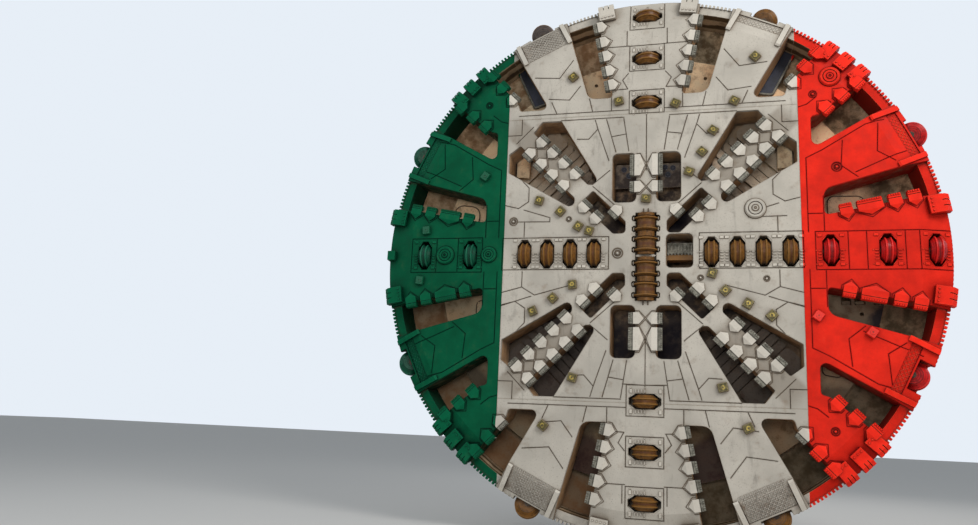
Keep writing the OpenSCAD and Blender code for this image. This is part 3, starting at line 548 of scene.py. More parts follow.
def hex_bolts(name, places, radius, height, material):
    """Hex heads on round washers, each standing on its foot along Z"""
    def build(tree, given):
        both = add("GeometryNodeJoinGeometry", tree=tree)
        washer, head = cone(tree, 16, 0.96, 1.0, 0.22), cone(tree, 6, 0.74, 0.8, 0.8)
        for shape in (washer, moved(head, Translation=(0, 0, 0.2))):
            tree.links.new(shape, both.inputs[0])
        return moved(both.outputs[0], Scale=joined(given["Radius"], given["Radius"], given["Height"]))

    grown(name, places, {"Radius": radius, "Height": height}, build, material)


bucket_bolt_r = 4.425
bucket_bolts = []
for clock in bucket_clocks:
    wide = not near(clock, (45, 135, 225, 315), 6)
    for offset in ((-0.095, -0.03, 0.035, 0.1) if wide else (-0.07, 0, 0.07)):
        radial, round_way = clock_ways(clock)
        point = radial * bucket_bolt_r + round_way * offset + Vector((0, face_y - 0.03, 0))
        bucket_bolts.append(stand(point, round_way))
hex_bolts("bucket_bolts", bucket_bolts, 0.017, 0.018, holder_enamel)

# Disc cutters: hardened rings on steel hubs that turn on fixed shafts. The rings' ridges and worn edges are
# lighter with a painted highlight, the valleys between twin rings and the corners darker with painted shade, the
# hubs are brown with rust, and those of the green and the red side were sprayed over with the arms.
disc_r = 0.216
ring_x, centre_ring_x = 0.042, 0.093
hub_colours = (0.16, 0.066, 0.011), (0.001, 0.064, 0.032), (0.44, 0.007, 0.007)
# Valley colours: painted shade between the twin rings.
valley_shade_colours = (0.085, 0.028, 0.009), (0.001, 0.03, 0.016), (0.14, 0.006, 0.006)
# Ridge colours: painted highlight on the ridges and the worn edges.
ridge_highlight_colours = (0.25, 0.12, 0.028), (0.02, 0.16, 0.09), (0.8, 0.025, 0.02)
dark_steel = (0.05, 0.042, 0.042)


def cutter_finish(name, centre, axis, ridge, bare=False):
    """Rust and enamel of one cutter, from the distance along its shaft and from it, with painted highlights on
    its ridges and edge and painted shade in its valley and corners
    """
    material, tree, shader = node_material(name, gloss=0.2)
    place = object_place(tree)
    x = axes(place)[0]
    local = vector_calc("SUBTRACT", place, tuple(centre))
    along = vector_calc("DOT_PRODUCT", local, tuple(axis))
    length = vector_calc("LENGTH", local)
    radius = calc("SQRT", calc("SUBTRACT", calc("POWER", length, 2.0), calc("POWER", along, 2.0)))
    patches = noise(place, 16.0, 6, 0.6)
    grains = noise(place, 120.0, 3, 0.6)
    turning = noise(place, 4.0, 2, 0.5)
    dirt_and_shade = zoned(x, dirt_and_shade_colours)
    worn = (dark_steel, dark_steel, dark_steel) if bare else hub_colours
    colour = shaded(zoned(x, worn), ramp(patches, 0.35, 0.7, 1.1, 0.45))
    # Painted highlight: lighter stripes on the ridges round the shaft.
    rings = calc("SINE", times(along, 250.0))
    colour = blend(ramp(rings, 0.3, 1.0, 0.0, 0.3), colour, zoned(x, ridge_highlight_colours))
    faces = calc("SINE", times(radius, 190.0))
    on_face = ramp(calc("ABSOLUTE", along), 0.095, 0.106)
    colour = blend(times(on_face, ramp(faces, 0.1, 0.9, 0.0, 0.75)), colour, dirt_and_shade)
    # Painted highlight on the ring's worn outer edge.
    worn_edge_highlight = times(ramp(radius, disc_r - 0.014, disc_r - 0.003), ramp(turning, 0.25, 0.6, 0.35, 0.85))
    colour = blend(worn_edge_highlight, colour, zoned(x, ridge_highlight_colours))
    # Painted shade in the valley between the twin rings.
    valley_shade = ramp(calc("ABSOLUTE", along), ridge * 0.5, ridge * 0.1, 0.0, 0.85)
    colour = blend(valley_shade, colour, zoned(x, valley_shade_colours))
    colour = blend(ramp(grains, 0.58, 0.74, 0.0, 0.5), colour, dirt_and_shade)
    # Painted shade: crevices darken to the dirt colour.
    coat(shader, blend(crevice(tree, 0.12, 0.75, 0.3), colour, dirt_and_shade),
         calc("MULTIPLY_ADD", grains, 0.3, patches), 0.003, ramp(patches, 0.3, 0.7, 0.28, 0.52))
    return material


cutters = {joint["child"]: (Vector(joint["pos_m"]), Vector(joint["axis"])) for joint in frame["joints"]
           if joint["child"].startswith("cutter_")}
for name, (centre, axis) in cutters.items():
    ridge = centre_ring_x if "centre" in name else ring_x
    finish_nodes([name], cutter_finish(name + "_steel", centre, axis, ridge, bare=name.endswith("gauge_8")))


# Cutter housings: each cutter's saddle is machined steel at the bottom of its pocket. Round the slot, the frame
# has clamping ribs and corner pads, and cream wedges guide the cutter in at both ends of the slot.
def patchy(name, scale, rough, light, dark, edge_r, edge_colour, **surface):
    """A steel of two tones in patches, with lighter edges: worn on the saddles, a painted highlight on the
    panels
    """
    material, tree, shader = node_material(name, **surface)
    patches = noise(object_place(tree), scale, 6, rough)
    colour = blend(ramp(patches, 0.35, 0.7), light, dark)
    coat(shader, blend(sharp_edge(tree, edge_r), colour, edge_colour), patches, 0.004)
    return material


saddle_dirty = patchy("saddle_steel_dirty", 9.0, 0.65, (0.115, 0.09, 0.07), (0.04, 0.032, 0.028), 0.006,
                      (0.2, 0.15, 0.11), roughness=0.7, metallic=0.2)
finish_nodes(["cutter_saddles"], saddle_dirty)
slot_half_w = 0.125
gauge_r = 4.2
gauge_slope = 0.325
rib_rows = (0.0, -0.05, -0.1, -0.15)


def on_face(point, sunk=0.0):
    """The point moved onto the face, or sunk below it: the face slopes back outside gauge_r"""
    slope = max(0, (math.hypot(point.x, point.z) - gauge_r) * gauge_slope)
    return Vector((point.x, face_y + sunk + slope, point.z))


def stand_on_face(point, right_way):
    """A place for grown() on the face, upright on its slope"""
    out_way = Vector((0, -1, 0))
    if math.hypot(point.x, point.z) > gauge_r:
        out_way += Vector((point.x, 0, point.z)).normalized() * gauge_slope
    return stand(on_face(point), right_way, out_way)


face_cutters = [place for name, place in cutters.items() if "gauge" not in name and "centre" not in name]
wedge = ((slot_half_w, 0.15), (slot_half_w, 0.186), (0.052, 0.252))
ribs, pads, pins, wedges = [], [], [], []
for centre, axis in face_cutters:
    shaft_way = Vector((abs(axis.x), 0, abs(axis.z)))
    long_way = Vector((shaft_way.z, 0, shaft_way.x))
    for side in (-1, 1):
        beside = centre + shaft_way * side * (slot_half_w + 0.04)
        pinned = beside + shaft_way * side * 0.052
        ribs += [stand_on_face(beside + long_way * row, shaft_way) for row in rib_rows]
        pads += [stand_on_face(beside + long_way * row, shaft_way) for row in (-0.225, 0.245)]
        pins += [stand_on_face(pinned + long_way * row, shaft_way) for row in (0.0, -0.225)]
        for end in (-1, 1):
            outline = [on_face(centre + shaft_way * side * across + long_way * end * along, 0.004)
                       for across, along in wedge]
            wedges.append((outline, (0, 0.06, 0)))
blocks("clamp_ribs", ribs, (0.062, 0.018, 0.012), 0.8, holder_enamel)
blocks("corner_pads", pads, (0.075, 0.048, 0.016), 0.78, holder_enamel)
hex_bolts("frame_pins", pins, 0.011, 0.012, holder_enamel)


def finished(name, shape, material):
    """The head's piece of a bmesh, with its faces outward"""
    bmesh.ops.recalc_face_normals(shape, faces=shape.faces)
    mesh = bpy.data.meshes.new(name)
    shape.to_mesh(mesh)
    shape.free()
    mesh.materials.append(material)
    piece = linked(name, mesh)
    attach(piece, "cutterhead")


def solid_piece(name, parts, material):
    """One piece from prisms: each is an outline of points and the step from it to the opposite face"""
    shape = bmesh.new()
    for outline, step in parts:
        near_face = [shape.verts.new(p) for p in outline]
        far_face = [shape.verts.new(Vector(p) + Vector(step)) for p in outline]
        shape.faces.new(near_face)
        shape.faces.new(far_face[::-1])
        for k in range(len(outline)):
            j = (k + 1) % len(outline)
            shape.faces.new((near_face[j], near_face[k], far_face[k], far_face[j]))
    finished(name, shape, material)


solid_piece("slot_wedges", wedges, holder_enamel)

# Centre column: eight twin rings in one long slot. Brown spacer caps sit on the cheeks between the cutters, a
# cream bar crosses the middle, small cream pieces at the rings' tips in the slot's notches are a painted
# highlight of the rings' worn edges, and two dark blocks at each end of the row are painted shade of slots
# there.
spacer_r = 0.16
disc_depth = 0.096
wear_t = 0.02
cap_spans = ((0.644, 0.692), (0.283, 0.372), (-0.027, 0.011), (-0.131, -0.075), (-0.491, -0.403),
             (-0.811, -0.763))
chord = math.asin((disc_depth - wear_t) / spacer_r)
arc = [chord + (math.pi - 2 * chord) * k / 10 for k in range(11)]
spacers = []
for low, high in cap_spans:
    outline = [(spacer_r * math.cos(a), face_y + disc_depth - spacer_r * math.sin(a), low) for a in arc]
    spacers.append((outline, (0, 0, high - low)))
spacer_rust = cutter_finish("spacer_rust", Vector((0, face_y + disc_depth, 0)), Vector((0, 0, 1)), 0.001)
solid_piece("column_spacers", spacers, spacer_rust)
bar = [(-0.172, face_y - 0.01, -0.051), (-0.14, face_y - 0.01, -0.071), (0.14, face_y - 0.01, -0.071),
       (0.172, face_y - 0.01, -0.051), (0.14, face_y - 0.01, -0.031), (-0.14, face_y - 0.01, -0.031)]
solid_piece("column_bar", [(bar, (0, 0.06, 0))], plate_enamel)
# Painted highlight: cream pieces where the rings' edges catch the light.
ring_tip_highlights = []
for name, (centre, axis) in cutters.items():
    if "centre" in name:
        for z in (centre.z - centre_ring_x, centre.z + centre_ring_x):
            for side in (-1, 1):
                outline = [(side * x, face_y + 0.006, z + dz)
                           for x, dz in ((0.199, -0.034), (0.199, 0.034), (0.214, 0.018), (0.214, -0.018))]
                ring_tip_highlights.append((outline, (side * 0.022, 0.05, 0)))
solid_piece("ring_tip_highlights", ring_tip_highlights, plate_enamel)
# Painted shade: dark blocks where slots are shaded at each end of the row.
slot_shade_places = [stand((x, face_y, z), (0, 0, 1)) for z in (0.738, -0.856) for x in (-0.041, 0.038)]
blocks("column_slot_shades", slot_shade_places, (0.064, 0.018, 0.01), 0.8, saddle_dirty)

# Nozzles and wear caps: olive brass blocks with a bright bored boss spray the face, and round caps of hard
# steel protect the ports.
def nozzle_finish(name):
    material, tree, shader = node_material(name, metallic=0.2, gloss=0.4)
    place = object_place(tree)
    x, y = axes(place)[:2]
    depth = calc("SUBTRACT", y, face_y)
    patches = noise(place, 22.0, 5, 0.6)
    colour = blend(ramp(patches, 0.35, 0.65), (0.125, 0.1, 0.026), (0.05, 0.042, 0.013))
    colour = blend(sharp_edge(tree, 0.007), colour, (0.34, 0.27, 0.075))
    colour = blend(ramp(depth, -0.0635, -0.068), colour,
                   blend(ramp(patches, 0.42, 0.6), (0.42, 0.31, 0.06), (0.13, 0.1, 0.028)))
    look = axes(normal_of(tree))[1]
    colour = oversprayed(x, blend(ramp(look, -0.75, -0.55), colour, (0.2, 0.155, 0.085)))
    # Painted shade: crevices darken to grime.
    coat(shader, blend(crevice(tree, 0.03), colour, grime_and_shade), patches, 0.002, ramp(patches, 0.3, 0.7, 0.3, 0.55))
    return material


nozzle_brass = nozzle_finish("nozzle_brass")
finish_nodes(["nozzles"], nozzle_brass)
nozzle_places = [(1.108, 2.104), (0.925, 1.73), (0.713, 1.39), (0.49, 2.63), (1.46, 2.61), (0, 0.94),
                 (1.81, 3.39), (1.07, -0.36), (1.27, -0.646), (1.617, -0.858), (1.973, -1.05), (1.21, -2.2),
                 (1.584, -2.816), (-1.845, 0.957), (-1.464, 0.753), (-1.147, 0.479), (-0.957, 0.394),
                 (-1.295, 3.245), (-0.479, 2.73), (-1.9, -1.0), (-1.556, -0.774), (-1.225, -0.542),
                 (-1.19, -2.11), (-1.66, -2.907), (2.66, -1.05), (3.42, -1.3), (-2.85, 1.44), (-3.91, 0.46),
                 (-3.98, -0.46)]
random.seed(7)
collars = []
for x, z in nozzle_places:
    radial = Vector((x, 0, z)).normalized()
    way = Vector((radial.z, 0, -radial.x)) + radial * random.uniform(-0.35, 0.35)
    collars.append(stand((x, face_y - 0.024, z), way))
blocks("nozzle_collars", collars, (0.158, 0.145, 0.038), 0.84, nozzle_brass)
finish_nodes(["wear_caps"], enamel("cap_enamel", stains=1.3))

# Hardfacing: weld beads cross in a net of diamonds on the sloped end of each sub-spoke, and take the wear
# there. They fill the bare band before each gauge cutter, and on three ends a pad that reaches 0.4 m inward.
band_half = 0.385
bead_pitch = 0.074
spoke_clocks = [45 + quarter * 90 + side * 19.7 for quarter in range(4) for side in (-1, 1)]
gauge_offsets = (0, 0.015, -0.16, -0.02, 0.02, -0.05, -0.05, 0.04)
padded_ends = (3, 4, 7)
lip_reach, band_length, pad_length = 0.085, 0.17, 0.41


def on_slope(clock, across_band, height, sunk):
    """A point of the sloped face, or sunk below it, at a distance along a sub-spoke and off its middle"""
    radial, round_way = clock_ways(clock)
    return on_face(radial * height + round_way * across_band, sunk)


bead_lines, pad_parts = [], []
for k, clock in enumerate(spoke_clocks):
    high = rim_r + gauge_offsets[k] - lip_reach - 0.008
    padded = k in padded_ends
    low = high - (pad_length if padded else band_length - 0.016)
    sunk = -0.004 if padded else wear_t
    for slant in (-1, 1):
        for step in range(-10, 11):
            line = [(step * bead_pitch + slant * (high - low) * (j / 10 - 0.5), low + (high - low) * j / 10)
                    for j in range(11)]
            bead_lines.append([on_slope(clock, w, h, sunk) for w, h in line if abs(w) <= band_half])
    if padded:
        for j in range(4):
            foot, top = low + (high - low) * j / 4, low + (high - low) * (j + 1) / 4
            outline = [on_slope(clock, w, h, -0.004) for w, h in ((-band_half, foot), (band_half, foot),
                                                                  (band_half, top), (-band_half, top))]
            pad_parts.append((outline, (0, 0.02, 0)))
pad_enamel = enamel("pad_enamel", stains=2.2, lift=0.8)
solid_piece("hardfacing_pads", pad_parts, pad_enamel)


def beads(name, lines, radius, material, loops=()):
    """Round weld beads along lines of points, closed at their ends, and round closed loops of points"""
    def build(tree, given):
        curves = add("GeometryNodeMeshToCurve", {0: given["Places"]}).outputs[0]
        ring = add("GeometryNodeCurvePrimitiveCircle", {"Resolution": 6, "Radius": given["Radius"]}).outputs[0]
        return add("GeometryNodeCurveToMesh", {"Curve": curves, "Profile Curve": ring,
                                               "Fill Caps": True}).outputs[0]

    places, wires = [], []
    for line, closed in [(loop, True) for loop in loops] + [(line, False) for line in lines]:
        first, count = len(places), len(line)
        wires += [(first + k, first + (k + 1) % count) for k in range(count if closed else count - 1)]
        places += [(tuple(point), (0, 0, 0)) for point in line]
    grown(name, places, {"Radius": radius}, build, material, wires)


beads("hardfacing_beads", bead_lines, 0.0065, pad_enamel)

# Plate edges: the wear plates are flame-cut to a blunt point behind each scraper, and a dark bead along each cut
# is painted shade of its gap. The plates of the long diagonal spokes have no such cuts.
edge_gap = 0.034
long_spoke_end = 3.1
point_reach, shoulder_reach = -0.14 - 1.3 * edge_gap, -0.0635


def seam_finish(name):
    material, tree, shader = node_material(name, roughness=0.8)
    place = object_place(tree)
    patches = noise(place, 12.0, 5, 0.6)
    dark = (0.14, 0.11, 0.08), (0.0015, 0.02, 0.011), (0.16, 0.007, 0.005)
    colour = shaded(zoned(axes(place)[0], dark), ramp(patches, 0.3, 0.7, 0.6, 1.3))
    coat(shader, colour, patches, 0.003)
    return material


edge_lines = []
for foot, way, n in scrapers:
    if abs(abs(foot.x) - abs(foot.z)) < 0.6 and foot.length < long_spoke_end:
        continue
    side_way = way.cross(Vector((0, 1, 0)))
    half = (n * scraper_w - (n - 1) * scraper_lap) / 2 + edge_gap
    path = [(0.0, -half), (shoulder_reach, -half), (point_reach, 0.0), (shoulder_reach, half), (0.0, half)]
    edge_lines.append([on_face(foot + way * reach + side_way * offset) for reach, offset in path])
# Painted shade: dark beads and rings stand for shaded gaps and grooves.
seam_shade = seam_finish("seam_shade")
beads("plate_edges", edge_lines, 0.0065, seam_shade)


# Ports: two dark rings of painted shade, as of grooves, and a hex bolt in the middle mark each flush port, and
# the round caps have turned steps and a bored bush, marked by dark rings of painted shade. At the left end of
# the level spoke a small box with a round port stands on the rim, its port a dark ring of painted shade.
def ring_part(centre, outer, inner, height, sides=28):
    """A flat ring on the face as quads, from four circles"""
    circles = []
    for radius, lift in ((outer, 0), (outer, height), (inner, height), (inner, 0)):
        circles.append([Vector((centre[0] + radius * math.cos(2 * math.pi * k / sides), centre[1] - lift,
                                centre[2] + radius * math.sin(2 * math.pi * k / sides))) for k in range(sides)])
    return circles


def ring_piece(name, rings, material):
    shape = bmesh.new()
    for circles in rings:
        rows = [[shape.verts.new(p) for p in circle] for circle in circles]
        for j in range(len(rows)):
            row, after = rows[j], rows[(j + 1) % len(rows)]
            for k in range(len(row)):
                m = (k + 1) % len(row)
                shape.faces.new((row[k], row[m], after[m], after[k]))
    finished(name, shape, material)


ports = [(-0.47, 0, 0.085), (-2.3, 0.594, 0.07), (3.02, 1.38, 0.075), (-1.315, 0.613, 0.045),
         (0.885, -0.43, 0.045), (1.91, -0.45, 0.045), (2.7, 2.65, 0.06), (2.84, -2.81, 0.06),
         (-2.84, 2.81, 0.06)]
caps = [(2.97, 2.94, 0.165), (1.758, 0.719, 0.165), (-2.725, 0, 0.14), (-3.534, 0, 0.165)]
port_rings = [ring_part((x, face_y + 0.004, z), r * 1.1, r * 0.92, 0.01) for x, z, r in ports]
port_rings += [ring_part((x, face_y + 0.004, z), r * 0.6, r * 0.4, 0.009) for x, z, r in ports]
cap_rings = ((-0.004, 1.08, 0.99, 0.008), (0.014, 0.7, 0.6, 0.006), (0.038, 0.38, 0.3, 0.005),
             (0.05, 0.15, 0.05, 0.005))
port_rings += [ring_part((x, face_y - lift, z), r * outer, r * inner, height)
               for x, z, r in caps for lift, outer, inner, height in cap_rings]
# Painted shade: dark rings for the ports' grooves and the caps' steps.
ring_piece("port_grooves", port_rings, seam_shade)
hex_bolts("port_bolts", [stand((x, face_y, z), (1, 0, 0)) for x, z, r in ports], 0.02, 0.014, holder_enamel)
box_x, box_z = -4.583, 0.02
blocks("edge_box", [stand((box_x, face_y + 0.16, box_z), (1, 0, 0))], (0.15, 0.18, 0.15), 0.9, holder_enamel)
# Painted shade: a dark ring for the box's port.
ring_piece("edge_box_port", [ring_part((box_x, face_y + 0.088, box_z), 0.055, 0.03, 0.018)], seam_shade)


# Inside of the head: the chute plate, the webs, the cone and the legs are primed tan and never got the top
# coat. Patches of painted shade, tinted like mud, rust and dust, darken them where the openings look deep, mud
# and painted shade darken the cone at the rim, and they are dark near the hub. Painted light from above makes
# them lighter high up and darker low down, where mud also gathers, and faces that look back carry painted shade.
chute_face = 0.75
# Colours of the painted shade patches, tinted like mud, rust and dust.
deep_shade = (0.016, 0.016, 0.028)
dust_and_shade = (0.2, 0.165, 0.125)
plum_shade = (0.036, 0.017, 0.028)
rust_tinted_shade = (0.17, 0.075, 0.03)
painted_shade_patches = ((1.55, 2.2, 0.55, 0.75, dust_and_shade), (-1.55, 2.2, 0.55, 0.5, dust_and_shade), (4.05, 1.25, 0.6, 0.7, rust_tinted_shade),
              (3.3, -1.0, 0.62, 0.6, grime_and_shade), (4.15, -1.15, 0.7, 0.9, deep_shade),
              (-1.35, -3.7, 0.85, 0.75, plum_shade), (1.35, -3.7, 0.95, 0.75, plum_shade),
              (3.0, -2.6, 0.6, 0.6, grime_and_shade), (3.7, -2.3, 0.4, 0.8, deep_shade), (0.5, -1.45, 0.5, 0.8, deep_shade),
              (-0.5, -1.5, 0.45, 0.7, deep_shade), (-0.45, 0.85, 0.3, 0.85, deep_shade),
              (0.45, 0.8, 0.35, 0.9, deep_shade), (-1.85, -1.85, 0.95, 0.7, deep_shade),
              (1.75, -1.75, 0.8, 0.6, deep_shade), (-3.2, -2.3, 0.5, 0.7, grime_and_shade))


def primer(name, bright=False):
    material, tree, shader = node_material(name)
    place = object_place(tree)
    x, y, z = axes(place)
    broad = noise(place, 0.8, 5, 0.6)
    patches = noise(place, 4.5, 7, 0.65)
    specks = noise(place, 40.0, 4, 0.6)
    fresh = (0.56, 0.45, 0.34) if bright else (0.78, 0.52, 0.31)
    faded = (0.47, 0.4, 0.31) if bright else (0.66, 0.54, 0.37)
    colour = blend(ramp(broad, 0.38, 0.62), fresh, faded)
    colour = blend(ramp(patches, 0.5, 0.68, 0.0, 0.7), colour, (0.32, 0.19, 0.1))
    colour = blend(ramp(specks, 0.55, 0.7, 0.0, 0.4), colour, grime_and_shade)
    # Painted light from above: lighter high up and darker low down, where mud also gathers.
    colour = shaded(colour, ramp(calc("MULTIPLY_ADD", broad, 2.0, z), -2.6, 3.2, 0.44, 1.45))
    before_cone = calc("LESS_THAN", y, face_y + chute_face + 0.045)
    look = axes(normal_of(tree))[1]
    from_front = ramp(look, 0.1, 0.5, 1.0, 0.0)
    before_cone = times(before_cone, from_front)
    # Painted shade on faces that look back.
    colour = shaded(colour, calc("MULTIPLY_ADD", from_front, 0.52, 0.48))
    radius = vector_calc("LENGTH", joined(x=x, z=z))
    dark_r = (2.35, 1.65) if bright else (2.9, 1.9)
    inner = times(ramp(radius, *dark_r), ramp(patches, 0.3, 0.6, 0.5, 1.0))
    colour = blend(inner, colour, (0.09, 0.075, 0.071))
    # Mud and painted shade on the cone beyond the chute plate's edge, at the rim.
    outer = times(ramp(radius, 3.83, 3.95), ramp(patches, 0.38, 0.6, 0.45, 0.85))
    outer = times(outer, ramp(look, 0.1, 0.5, 1.0, 0.25))
    far_mud_and_shade = blend(ramp(x, -1.5, 1.5), (0.3, 0.16, 0.08), (0.08, 0.06, 0.034))
    colour = blend(outer, colour, far_mud_and_shade)
    colour = blend(sharp_edge(tree, 0.006), colour, (0.62, 0.48, 0.33))
    # Painted shade: dark patches where the openings look deep.
    for patch_x, patch_z, reach, share, mud_and_shade in painted_shade_patches:
        away = joined(x=calc("SUBTRACT", x, patch_x), z=calc("SUBTRACT", z, patch_z))
        ragged = calc("MULTIPLY_ADD", patches, 0.35, vector_calc("LENGTH", away))
        patch_shade = times(ramp(ragged, reach + 0.18, reach, 0.0, share), before_cone)
        colour = blend(patch_shade, colour, mud_and_shade)
    # Painted shade: crevices darken to grime.
    coat(shader, blend(crevice(tree, 0.06), colour, grime_and_shade),
         calc("MULTIPLY_ADD", specks, 0.4, patches), 0.006, ramp(patches, 0.3, 0.7, 0.5, 0.8))
    return material


inside_primer = primer("inside_primer")
finish_nodes(["chute_frame", "rear_cone", "torque_legs"], inside_primer)


# Behind the arms: paddles of flame-cut plate cross each diagonal web, one after another, and close the way
# behind the diagonal spokes in steps. They are welded to the web and lie a little deeper or nearer by turns.
paddle_w, paddle_half, paddle_t, end_plate = 0.138, 0.56, 0.03, 0.34
first_paddle, paddle_pitch = 1.74, 0.158
random.seed(11)
paddles = []
for clock in (45, 135, 225, 315):
    radial, round_way = clock_ways(clock)
    for k in range(7):
        out_along = first_paddle + paddle_pitch * k
        depth = 0.64 + 0.022 * (k % 3) + random.uniform(-0.006, 0.006)
        low, high = out_along - paddle_w / 2, out_along + paddle_w / 2
        if k == 6:
            high += end_plate
        cut = random.uniform(0.03, 0.09)
        half = min(paddle_half, 0.26 + (out_along - 1.55) * 0.48)
        corners = [(-half + cut, low), (half - cut, low), (half, low + cut), (half, high), (-half, high),
                   (-half, low + cut)]
        outline = [radial * up + round_way * w + Vector((0, face_y + depth, 0)) for w, up in corners]
        paddles.append((outline, (0, paddle_t, 0)))
solid_piece("muck_paddles", paddles, primer("paddle_primer", bright=True))


# Chute plate's fittings: bolted covers with rounded corners, dark recessed panels in frames that are painted
# shade with a painted highlight on their edges, boxes in the slots behind the lower right side, and an upright
# plate behind the outer end of each upper diagonal spoke.
def rounded_plate(corners, radius, depth, thickness):
    """A prism part with rounded corners, on the chute plate, from the corners at x and z"""
    outline = []
    count = len(corners)
    for k in range(count):
        before, here, after = (Vector((*corners[(k + j) % count], 0)) for j in (-1, 0, 1))
        a, b = (before - here).normalized(), (after - here).normalized()
        half = a.angle(b) / 2
        middle = here + (a + b).normalized() * radius / math.sin(half)
        start, end = here + a * radius / math.tan(half), here + b * radius / math.tan(half)
        for j in range(6):
            point = middle + radius * (start - middle).slerp(end - middle, j / 5)
            outline.append((point.x, face_y + depth, point.y))
    return outline, (0, thickness, 0)


cover_shapes = ((((2.955, 0.7), (3.53, 0.7), (3.53, 1.085), (2.955, 1.1)), 0.11),
                (((-3.64, 0.76), (-3.14, 0.69), (-3.15, 1.08), (-3.64, 1.15)), 0.16),
                (((-3.12, -1.18), (-2.76, -1.06), (-2.76, -0.7), (-3.12, -0.7)), 0.09),
                (((2.78, -1.33), (3.16, -1.48), (3.06, -1.95), (2.78, -1.9)), 0.08))
covers = [rounded_plate(corners, radius, chute_face - 0.016, 0.018) for corners, radius in cover_shapes]
solid_piece("chute_covers", covers, inside_primer)
beads("cover_welds", [], 0.009, saddle_dirty, loops=[outline for outline, step in covers])
cover_bolts = [(x, z) for x0, x1, z0, z1 in ((3.0, 3.48, 0.75, 1.04), (-3.55, -3.09, 0.81, 1.08),
                                             (-3.08, -2.8, -1.02, -0.74), (2.82, 3.06, -1.82, -1.42))
               for x in (x0, x1) for z in (z0, z1)]
hex_bolts("cover_bolts", [stand((x, face_y + chute_face - 0.015, z), (1, 0, 0)) for x, z in cover_bolts], 0.018,
          0.016, inside_primer)
# Painted shade: dark panels, with a painted highlight on their edges.
panel_shade_paint = patchy("panel_shade_paint", 5.0, 0.6, (0.034, 0.038, 0.062), (0.014, 0.015, 0.023), 0.008,
                     (0.34, 0.36, 0.42), roughness=0.5, gloss=0.4)
panels = [rounded_plate(((-2.53, 3.83), (-2.146, 3.004), (-1.891, 3.089), (-2.33, 3.845)), 0.03, 0.7, 0.08),
          rounded_plate(((1.7, 3.06), (2.125, 2.99), (2.545, 3.8), (2.2, 3.96)), 0.05, 0.72, 0.06)]
solid_piece("recess_panels", panels, panel_shade_paint)
beads("panel_frames", [], 0.022, tip_carbide, loops=[outline for outline, step in panels])
slot_boxes = [rounded_plate(((x - w, -0.745), (x + w, -0.745), (x + w, -0.69), (x - w, -0.69)), 0.008,
                            chute_face + 0.004, 0.034) for x, w in ((3.18, 0.06), (3.388, 0.066), (3.65, 0.04))]
solid_piece("slot_boxes", slot_boxes, inside_primer)
upright_plates = [rounded_plate(((side * 2.165, 1.56), (side * 2.4, 1.58), (side * 2.4, 2.08),
                                 (side * 2.165, 2.02)), 0.012, 0.52, 0.13) for side in (-1, 1)]
solid_piece("upright_plates", upright_plates, inside_primer)

# Centre windows: behind each upper one stands a plate of pale primed steel with rounded corners, and three
# pipe ends are welded into it, each a dark disc of painted shade for its bore.
pipe_plates = [rounded_plate(((side * 0.2, 1.28), (side * 0.62, 1.28), (side * 0.62, 1.72),
                              (side * 0.2, 1.72)), 0.03, 0.48, 0.03) for side in (-1, 1)]
solid_piece("pipe_plates", pipe_plates, primer("pipe_primer", bright=True))
# Painted shade: dark discs for the pipes' bores.
pipe_ends = [ring_part((side * x, face_y + 0.48, z), 0.05, 0.004, 0.012) for side in (-1, 1)
             for x, z in ((0.29, 1.645), (0.425, 1.63), (0.34, 1.51))]
ring_piece("pipe_ends", pipe_ends, panel_shade_paint)

# Hub window: a comb of hard steel teeth crosses the window on the right of the hub, with a strip on each
# tooth, and a rusty ledge is welded in below the comb.
comb_depth = 0.25
comb_left, comb_right, comb_count, half_tooth = 0.331, 0.769, 8, 0.0274
comb_top, comb_low, comb_tips, ledge_low = 0.215, 0.045, 0.005, -0.075
comb_rows = [comb_left + (comb_right - comb_left) * (k + 0.5) / comb_count for k in range(comb_count)]
comb = [(comb_left, comb_top), (comb_left, comb_low)]
for x in comb_rows:
    comb += [(x, comb_tips), (x + half_tooth, comb_low)]
comb += [(comb_right, comb_top)]
comb_outline = [(x, face_y + comb_depth, z) for x, z in comb]
solid_piece("hub_comb", [(comb_outline, (0, 0.05, 0))], tip_carbide)
strips = [stand((x, face_y + comb_depth, 0.13), (1, 0, 0)) for x in comb_rows]
blocks("comb_teeth", strips, (0.04, 0.15, 0.012), 0.6, tip_carbide)
ledge = [(x, face_y + comb_depth + 0.02, z) for x, z in ((comb_left, 0.02), (comb_left, ledge_low),
                                                         (comb_right, ledge_low), (comb_right, 0.02))]
solid_piece("hub_ledge", [(ledge, (0, 0.2, 0))], spacer_rust)


# Bearing: two machined steel rings, the drive flange and the rotary union, oiled grey, with a film of rust and
# fine turning marks round the axis. Rings of hex bolts hold the race and the union.
def machined(name):
    material, tree, shader = node_material(name, metallic=0.85)
    place = object_place(tree)
    x, y, z = axes(place)
    radius = vector_calc("LENGTH", joined(x=x, z=z))
    marks = noise(joined(x=radius, y=y), 90.0, 4, 0.6)
    patches = noise(place, 3.0, 6, 0.6)
    colour = blend(ramp(marks, 0.3, 0.7), (0.42, 0.42, 0.41), (0.3, 0.3, 0.3))
    colour = blend(ramp(patches, 0.55, 0.72, 0.0, 0.7), colour, (0.2, 0.11, 0.055))
    # Painted shade: crevices darken to grime.
    coat(shader, blend(crevice(tree, 0.08), colour, grime_and_shade), marks, 0.001,
         ramp(patches, 0.3, 0.7, 0.28, 0.55), strength=0.3)
    return material


bearing_steel = machined("bearing_steel_oiled")
finish_nodes(["bearing_ring", "inner_race", "drive_flange", "rotary_union"], bearing_steel)
union_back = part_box("rotary_union")[0].y + 0.06
race_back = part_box("inner_race")[1].y


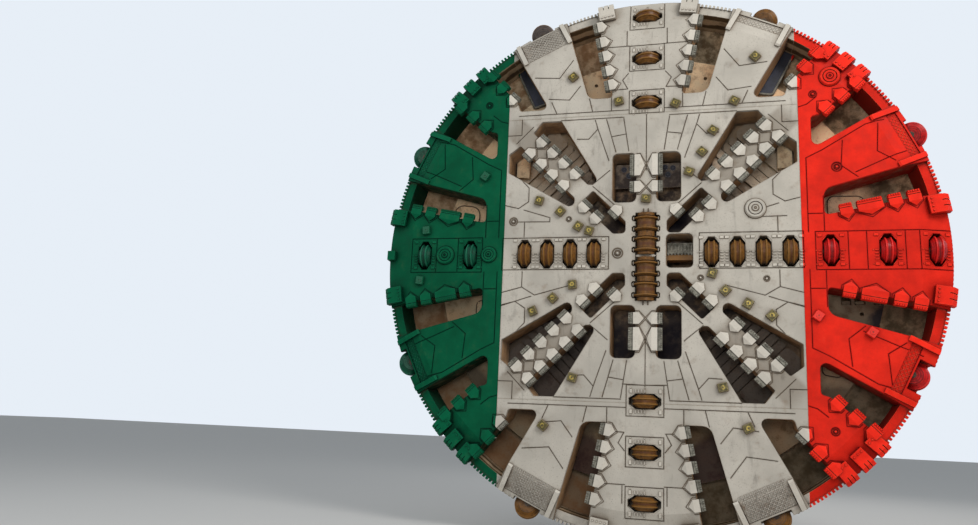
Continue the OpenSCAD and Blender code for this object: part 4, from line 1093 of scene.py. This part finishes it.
def bolt_ring(count, first_clock, radius, y):
    """Places on a circle for bolts that look back"""
    ways = [clock_ways(first_clock + 360 * k / count) for k in range(count)]
    return [stand(radial * radius + Vector((0, y, 0)), round_way, (0, 1, 0)) for radial, round_way in ways]


race_bolt_r, union_bolt_r = 2.14, 0.36
race_bolts = bolt_ring(48, 3.75, race_bolt_r, race_back)
union_bolts = bolt_ring(12, 0, union_bolt_r, union_back)
hex_bolts("race_bolts", race_bolts, 0.034, 0.006, bearing_steel)
hex_bolts("union_bolts", union_bolts, 0.03, 0.032, bearing_steel)

# Rear of the cone: its plates meet in 16 radial weld seams and two round ones, and four bolted covers close the
# holes through which a fitter reaches the chute.
cone_outer, cone_inner = (4.455, 0.842), (2.456, 1.39)
cone_way = Vector((cone_outer[0] - cone_inner[0], cone_outer[1] - cone_inner[1]))


def cone_point(clock, radius, depth):
    return clock_ways(clock)[0] * radius + Vector((0, face_y + depth, 0))


cone_rings = [[cone_point(3.75 * k, *edge) for k in range(96)] for edge in (cone_outer, cone_inner)]
cone_seams = [[cone_point(22.5 * k, *edge) for edge in (cone_outer, cone_inner)] for k in range(16)]
beads("cone_welds", cone_seams, 0.013, inside_primer, loops=cone_rings)
hatch_r, hatch_t = 0.33, 0.03
hatch_bolt_r = hatch_r * 0.86
hatch_clocks = (33.75, 123.75, 213.75, 303.75)


def cone_place(clock, along=0.0, across=0.0, lift=0.0):
    """A place on the cone's rear face, from the middle of the way between its inner and its outer edge"""
    radial, round_way = clock_ways(clock)
    share = 0.5 + along / cone_way.length
    point = cone_point(clock, cone_inner[0] + cone_way.x * share, cone_inner[1] + cone_way.y * share)
    normal = (radial * -cone_way.y + Vector((0, cone_way.x, 0))).normalized()
    return stand(point + round_way * across + normal * lift, round_way, normal)


def round_cover(tree, given):
    plate = cone(tree, 40, 0.96, 1.0, 1.0)
    return moved(plate, Scale=joined(given["Radius"], given["Radius"], given["Height"]))


grown("cone_covers", [cone_place(clock) for clock in hatch_clocks], {"Radius": hatch_r, "Height": hatch_t},
      round_cover, inside_primer)
hatch_bolts = [cone_place(clock, hatch_bolt_r * math.cos(a), hatch_bolt_r * math.sin(a), hatch_t - 0.002)
               for clock in hatch_clocks for a in (math.radians(30 * k) for k in range(12))]
hex_bolts("cone_cover_bolts", hatch_bolts, 0.024, 0.02, bearing_steel)
